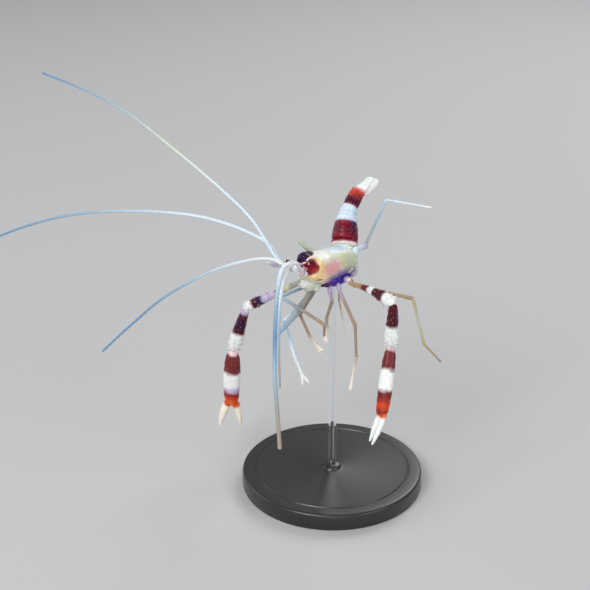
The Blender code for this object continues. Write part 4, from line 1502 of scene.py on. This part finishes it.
SOMITE_BANDS = (
    # Somite 1: the blue-white front half is a painted highlight that carries on the one over the rear
    # carapace; the rest is its own milky green.
    blocks((0.5, Hue.BLUE_WHITE), (1.0, Hue.MILK_GREEN), soft=0.25),
    blocks((0.42, Hue.MILK_GREEN), (0.66, Hue.BLUSH), (1.0, Hue.CRIMSON), soft=0.12),
    blocks((0.95, Hue.CRIMSON), (1.0, Hue.ROSE), soft=0.04),
    blocks((0.18, Hue.LAVENDER), (1.0, Hue.BLUE_WHITE), soft=0.12),
    blocks((0.86, Hue.BLUE_WHITE), (1.0, Hue.ROSE), soft=0.08),
    blocks((0.08, Hue.ROSE), (0.48, Hue.PLUM), (0.91, Hue.RED_ORANGE), (1.0, Hue.PINK), soft=0.05))
SOMITE_PATCHES = {
    2: (Patch((-1.5, 11.4, 6.4), (3.6, 1.6, 1.3), Hue.PLUM, 0.9, 0.8),
        Patch((-1.6, 13.0, 8.0), (1.5, 1.6, 1.6), Hue.NAVY, 0.95, 0.6),
        Patch((-5.2, 9.4, 7.0), (1.5, 1.5, 0.9), Hue.PLUM, 0.8, 0.8),
        Patch((0.2, 13.2, 5.2), (1.2, 1.6, 1.8), Hue.PLUM, 0.9, 0.7)),
    5: (Patch((-6.4, 17.4, 13.6), (1.2, 1.0, 0.8), Hue.CRIMSON, 0.8, 0.7),
        Patch((-5.6, 18.4, 12.6), (1.0, 1.2, 1.2), Hue.WINE, 0.8, 0.7)),
}
SOMITE_FINISHES = tuple(
    Finish(f"shell_somite_{number + 1}", bands, SOMITE_PATCHES.get(number, ()),
           belly=Hue.MILK_GREEN, wobble=0.10, mottle=0.45, grain=0.75, bumps=0.06, clarity=0.3)
    for number, bands in enumerate(SOMITE_BANDS))

FEELERS = {
    "antennule_right_upper": Feeler(
        ((-1.5, -15.9, 5.0), (-3.9, -16.6, 6.9), (-11.6, -17.3, 14.9), (-21.5, -19.6, 21.9),
         (-35.2, -23.2, 30.1), (-50.4, -26.9, 37.9), (-64.5, -31.6, 42.8), (-76.3, -35.5, 45.4)),
        (0.42, 0.26), even(Hue.BLUE_WHITE, Hue.BLUE_WHITE, Hue.MILK_GREEN, Hue.PALE_BLUE, Hue.STEEL)),
    "antennule_right_lower": Feeler(
        ((-0.7, -16.2, 4.9), (-3.6, -18.9, 6.6), (-6.3, -25.0, 7.0), (-9.2, -34.8, 6.0),
         (-12.0, -48.0, 2.3), (-13.3, -58.8, -2.7), (-14.2, -67.4, -7.3)),
        (0.42, 0.26), even(Hue.WHITE, Hue.BLUE_WHITE, Hue.PALE_BLUE, Hue.STEEL, Hue.STEEL)),
    "antennule_left_upper": Feeler(
        ((1.3, -16.1, 4.9), (2.4, -18.3, 4.4), (4.0, -21.6, 1.4), (5.4, -24.1, -2.2),
         (7.0, -26.4, -8.1), (9.2, -28.9, -15.2)),
        (0.40, 0.26), even(Hue.WHITE, Hue.BLUE_WHITE)),
    "antennule_left_lower": Feeler(
        ((0.8, -15.7, 3.6), (1.1, -17.8, 1.2), (2.2, -20.5, -5.9), (3.9, -22.6, -16.4),
         (5.8, -24.2, -26.6)),
        (0.40, 0.26), even(Hue.BLUE_WHITE, Hue.PALE_BLUE, Hue.GREY)),
    "antenna_right": Feeler(
        ((-3.0, -14.9, 3.6), (-4.9, -15.0, 6.3), (-8.1, -15.9, 9.4), (-18.0, -19.4, 12.2),
         (-29.3, -23.7, 13.1), (-43.8, -31.0, 12.2), (-58.8, -38.6, 9.3), (-72.3, -46.2, 4.2),
         (-84.6, -55.3, -2.9), (-93.8, -63.6, -11.0), (-99.7, -70.9, -20.1)),
        (0.50, 0.26), even(Hue.BLUE_WHITE, Hue.BLUE_WHITE, Hue.PALE_BLUE, Hue.STEEL, Hue.STEEL)),
    "antenna_left": Feeler(
        ((2.7, -14.9, 3.6), (2.4, -17.2, 6.4), (3.9, -21.8, 6.0), (9.2, -28.5, 2.0),
         (15.1, -35.0, -5.0), (20.7, -40.5, -12.3), (26.1, -44.8, -19.9), (29.9, -47.9, -25.6)),
        (0.60, 0.50), even(Hue.WHITE, Hue.BLUE_WHITE, Hue.PALE_BLUE, Hue.STEEL, Hue.PALE_BLUE,
                           Hue.GREY, Hue.TAN)),
}

LEGS = {
    "maxilliped_left": Leg(
        (1.3, -5.4, -4.9), ((4.4, -10, 14), (3.6, 168, -12)), 2, (0.70, 0.52, 0.52, 0.38),
        even(Hue.MILK_GREEN, Hue.CLEAR_GREEN, Hue.GREY), (), bristles=0.6),
    "maxilliped_right": Leg(
        (-1.6, -4.6, -5.7), ((8.0, 8, -42), (5.6, -18, -40), (3.2, 2, -22), (3.2, 33, -52)), 4,
        (0.75, 0.55, 0.55, 0.38), even(Hue.CLEAR_GREY, Hue.GREY, Hue.PALE_BLUE, Hue.PALE_BLUE), (),
        bristles=0.8),
    "leg1_left": Leg(
        (2.1, -1.4, -6.3), ((3.8, 158, -80), (6.5, 30, -21), (4.0, -146, -63), (2.6, 33, -41)), 2,
        (0.60, 0.48, 0.48, 0.34), even(Hue.LAVENDER, Hue.TAN, Hue.TAN), even(Hue.TAN, Hue.IVORY),
        (1.8, 17)),
    "leg1_right": Leg(
        (-2.2, -1.6, -6.2), ((3.2, -8, -50), (7.0, 12, -30), (7.0, 115, -65), (3.6, 118, -50)), 2,
        (0.60, 0.48, 0.50, 0.46), even(Hue.GREY, Hue.TAN), even(Hue.TAN, Hue.TAN, Hue.IVORY),
        (1.8, 19)),
    "leg2_left": Leg(
        (3.2, 0.9, -5.3), ((1.8, 60, -50), (11.0, 72, -36), (9.5, 160, -87), (6.6, 24, -60)), 2,
        (0.65, 0.54, 0.48, 0.36), even(Hue.LAVENDER, Hue.TAN, Hue.TAN),
        even(Hue.TAN, Hue.TAN, Hue.IVORY), (2.8, 6)),
    "leg2_right": Leg(
        (-3.15, 0.7, -5.6), ((1.8, -10, -60), (13.8, -13, -35), (11.0, 67, -42), (5.0, 85, -54)),
        2, (0.65, 0.54, 0.54, 0.48), even(Hue.GREY, Hue.PALE_BLUE, Hue.BLUE_WHITE),
        even(Hue.PALE_BLUE, Hue.BLUE_WHITE, Hue.WHITE), (3.0, 19)),
    "leg4_left": Leg(
        (3.1, 5.2, -5.0), ((2.0, 90, -35), (19.0, 100, 3), (13.4, 109, -74), (7.5, 150, -50)), 2,
        (0.75, 0.52, 0.46, 0.28), even(Hue.SAND, Hue.YELLOW_BROWN, Hue.TAN),
        even(Hue.YELLOW_BROWN, Hue.CLEAR_GREEN, Hue.YELLOW_BROWN, Hue.TAN), ringed=True),
    "leg4_right": Leg(
        (-3.2, 5.3, -5.4), ((3.0, -78, -38), (18.9, 4, 3), (15.0, 100, -17), (4.5, -134, -64)), 2,
        (0.75, 0.52, 0.58, 0.40), even(Hue.GREY, Hue.PALE_BLUE),
        even(Hue.PALE_BLUE, Hue.TAN, Hue.TAN), ringed=True),
    "leg5_left": Leg(
        (2.4, 7.2, -4.3), ((1.36, 170.5, 26.3), (6.75, 20.6, 83.0), (8.2, -157.9, -13.1),
                           (14.5, 144, 67), (12.5, 126, -7)), 3, (0.66, 1.02, 0.46, 0.28),
        even(Hue.LAVENDER, Hue.MILK_GREEN, Hue.BLUE_WHITE, Hue.BLUE_WHITE, Hue.LAVENDER),
        even(Hue.CLEAR_GREY, Hue.PALE_BLUE, Hue.BLUE_WHITE, Hue.WHITE), ringed=True, coxa=1.3),
    "leg5_right": Leg(
        (-2.8, 7.2, -4.1), ((2.2, -100, 0), (15.0, -95, 10), (17.0, 106, -45), (12.7, 70, -63)), 2,
        (0.80, 0.78, 0.46, 0.28), even(Hue.CLEAR_GREEN, Hue.CLEAR_GREEN, Hue.CLEAR_GREEN),
        even(Hue.CLEAR_GREEN, Hue.TAN, Hue.TAN, Hue.IVORY), ringed=True),
}

CLAWS = (
    GreatClaw(
        Side.LEFT, (3.6, 3.6, -4.2),
        ((2.03, 71.8, -11.4), (20.5, 77, 6), (13.7, -132, -81), (19.2, 27.5, -63.4)),
        fingers=(7.9, 5, -53), opening=0, stoutness=0.96, spacing=0.62, thickness=1.0,
        arm_radii=(0.80, 0.62, 0.68, 0.90, 1.20, 1.60, 1.55), arm_bow=0.65, bands={
            "arm": blocks((0.10, Hue.BLUSH), (0.38, Hue.SAND), (0.515, Hue.RED_BROWN),
                          (0.62, Hue.WHITE), (0.84, Hue.WINE), (1.0, Hue.WHITE), soft=0.022),
            "wrist": blocks((0.50, Hue.WINE), (1.0, Hue.WHITE), soft=0.04),
            "hand": blocks((0.03, Hue.BLUSH), (0.23, Hue.RED_BROWN), (0.44, Hue.WHITE),
                           (0.50, Hue.RED_BROWN), (0.56, Hue.BRICK), (0.63, Hue.RED_ORANGE),
                           (0.68, Hue.BRICK), (0.72, Hue.ORANGE), (1.0, Hue.WHITE), soft=0.024),
            "finger": blocks((0.10, Hue.ORANGE), (1.0, Hue.WHITE), soft=0.06)}),
    GreatClaw(
        Side.RIGHT, (-3.0, 3.2, -4.6),
        ((2.5, -80, -5), (24.5, -54.5, -30.2), (15.0, -67, -73), (18.0, -93, -86)),
        fingers=(8.2, -93, -86), opening=15.5, stoutness=1.22, spacing=1.25, thickness=1.34,
        arm_radii=(0.75, 0.60, 0.66, 0.78, 0.95, 1.35, 1.45), elbow_reach=0.9, bands={
            "arm": blocks((0.46, Hue.CLEAR_GREY), (0.54, Hue.STRAW), (0.61, Hue.RED_BROWN),
                          (0.765, Hue.LAVENDER), (0.82, Hue.NAVY), (0.89, Hue.WINE),
                          (1.0, Hue.WHITE), soft=0.018),
            "wrist": blocks((0.12, Hue.LAVENDER), (0.24, Hue.WINE), (0.47, Hue.DARK_PURPLE),
                            (0.58, Hue.WINE), (1.0, Hue.WHITE), soft=0.035),
            "hand": blocks((0.04, Hue.BLUSH), (0.27, Hue.RED_BROWN), (0.46, Hue.WHITE),
                           (0.51, Hue.LAVENDER), (0.56, Hue.BRICK), (0.61, Hue.RED_ORANGE),
                           (0.66, Hue.ORANGE), (0.70, Hue.RED_ORANGE), (1.0, Hue.IVORY),
                           soft=0.024),
            "finger": blocks((0.16, Hue.RED_ORANGE), (1.0, Hue.IVORY), soft=0.06)}))


# The studio

@dataclass
class Studio:
    """Floor, soft lights and camera; places in millimetres, strengths in watts."""

    camera_place: Triple = (265.25, -280.46, 240.09)
    camera_target: Triple = (-3.915, -11.301, 62.592)
    lens: float = 94.05
    floor_size: float = 6000.0
    # name, place, size of the panel and its strength
    panels: tuple[tuple[str, Triple, float, float], ...] = (
        ("key", (120, -620, 620), 420, 4.6),
        ("fill", (-620, -260, 380), 520, 1.2),
        ("rim", (-160, 560, 520), 420, 2.4),
        ("side", (620, 60, 300), 360, 1.1),
        ("front", (420, -440, 170), 320, 0.6))
    sky: float = 0.26
    sky_colour: tuple[float, float, float, float] = (0.95, 0.97, 1.0, 1.0)
    seen: Pair = (0.01, 20.0)         # nearest and farthest that the camera sees, in metres

    def build(self) -> None:
        """Make the floor, large soft panels with a dim even sky, and the camera."""
        half = self.floor_size / 2 * MM
        mesh = bpy.data.meshes.new("floor")
        corners = [(-half, -half, 0), (half, -half, 0), (half, half, 0), (-half, half, 0)]
        mesh.from_pydata(corners, [], [(0, 1, 2, 3)])
        mesh.materials.append(FLOOR_FINISH.material())
        floor = self.put("floor", mesh)
        for name, place, size, watts in self.panels:
            light = bpy.data.lights.new(name, "AREA")
            light.energy = watts
            light.size = size * MM
            self.aim(self.put(name, light), place)
        scene = bpy.context.scene
        scene.world = scene.world or bpy.data.worlds.new("studio")
        scene.world.use_nodes = True
        sky = scene.world.node_tree.nodes["Background"]
        sky.inputs["Color"].default_value = self.sky_colour
        sky.inputs["Strength"].default_value = self.sky
        camera = bpy.data.cameras.new("camera")
        camera.lens = self.lens
        camera.clip_start, camera.clip_end = self.seen
        scene.camera = self.put("camera", camera)
        self.aim(scene.camera, self.camera_place)
        scene.view_settings.view_transform = "Standard"

    def put(self, name: str, data: bpy.types.ID) -> bpy.types.Object:
        """A new object in the scene."""
        item = bpy.data.objects.new(name, data)
        bpy.context.scene.collection.objects.link(item)
        return item

    def aim(self, item: bpy.types.Object, place: Triple) -> None:
        """Move a light or the camera to its place and turn it to the target."""
        item.location = Vector(place) * MM
        way = Vector(self.camera_target) * MM - item.location
        item.rotation_euler = way.to_track_quat("-Z", "Y").to_euler()


def main() -> None:
    """Build every sub-assembly in order."""
    Stand().build()
    Carapace().build()
    UnderBody().build()
    TailFan().build(Abdomen().build())
    Head().build()
    for name, feeler in FEELERS.items():
        feeler.build(name)
    for number, (name, leg) in enumerate(LEGS.items()):
        leg.build(name, FIRST_LEG_SEED + number)
    for claw in CLAWS:
        claw.build()
    Studio().build()


if __name__ == "__main__":
    logging.basicConfig(level=logging.INFO, format="%(name)s %(message)s")
    main()
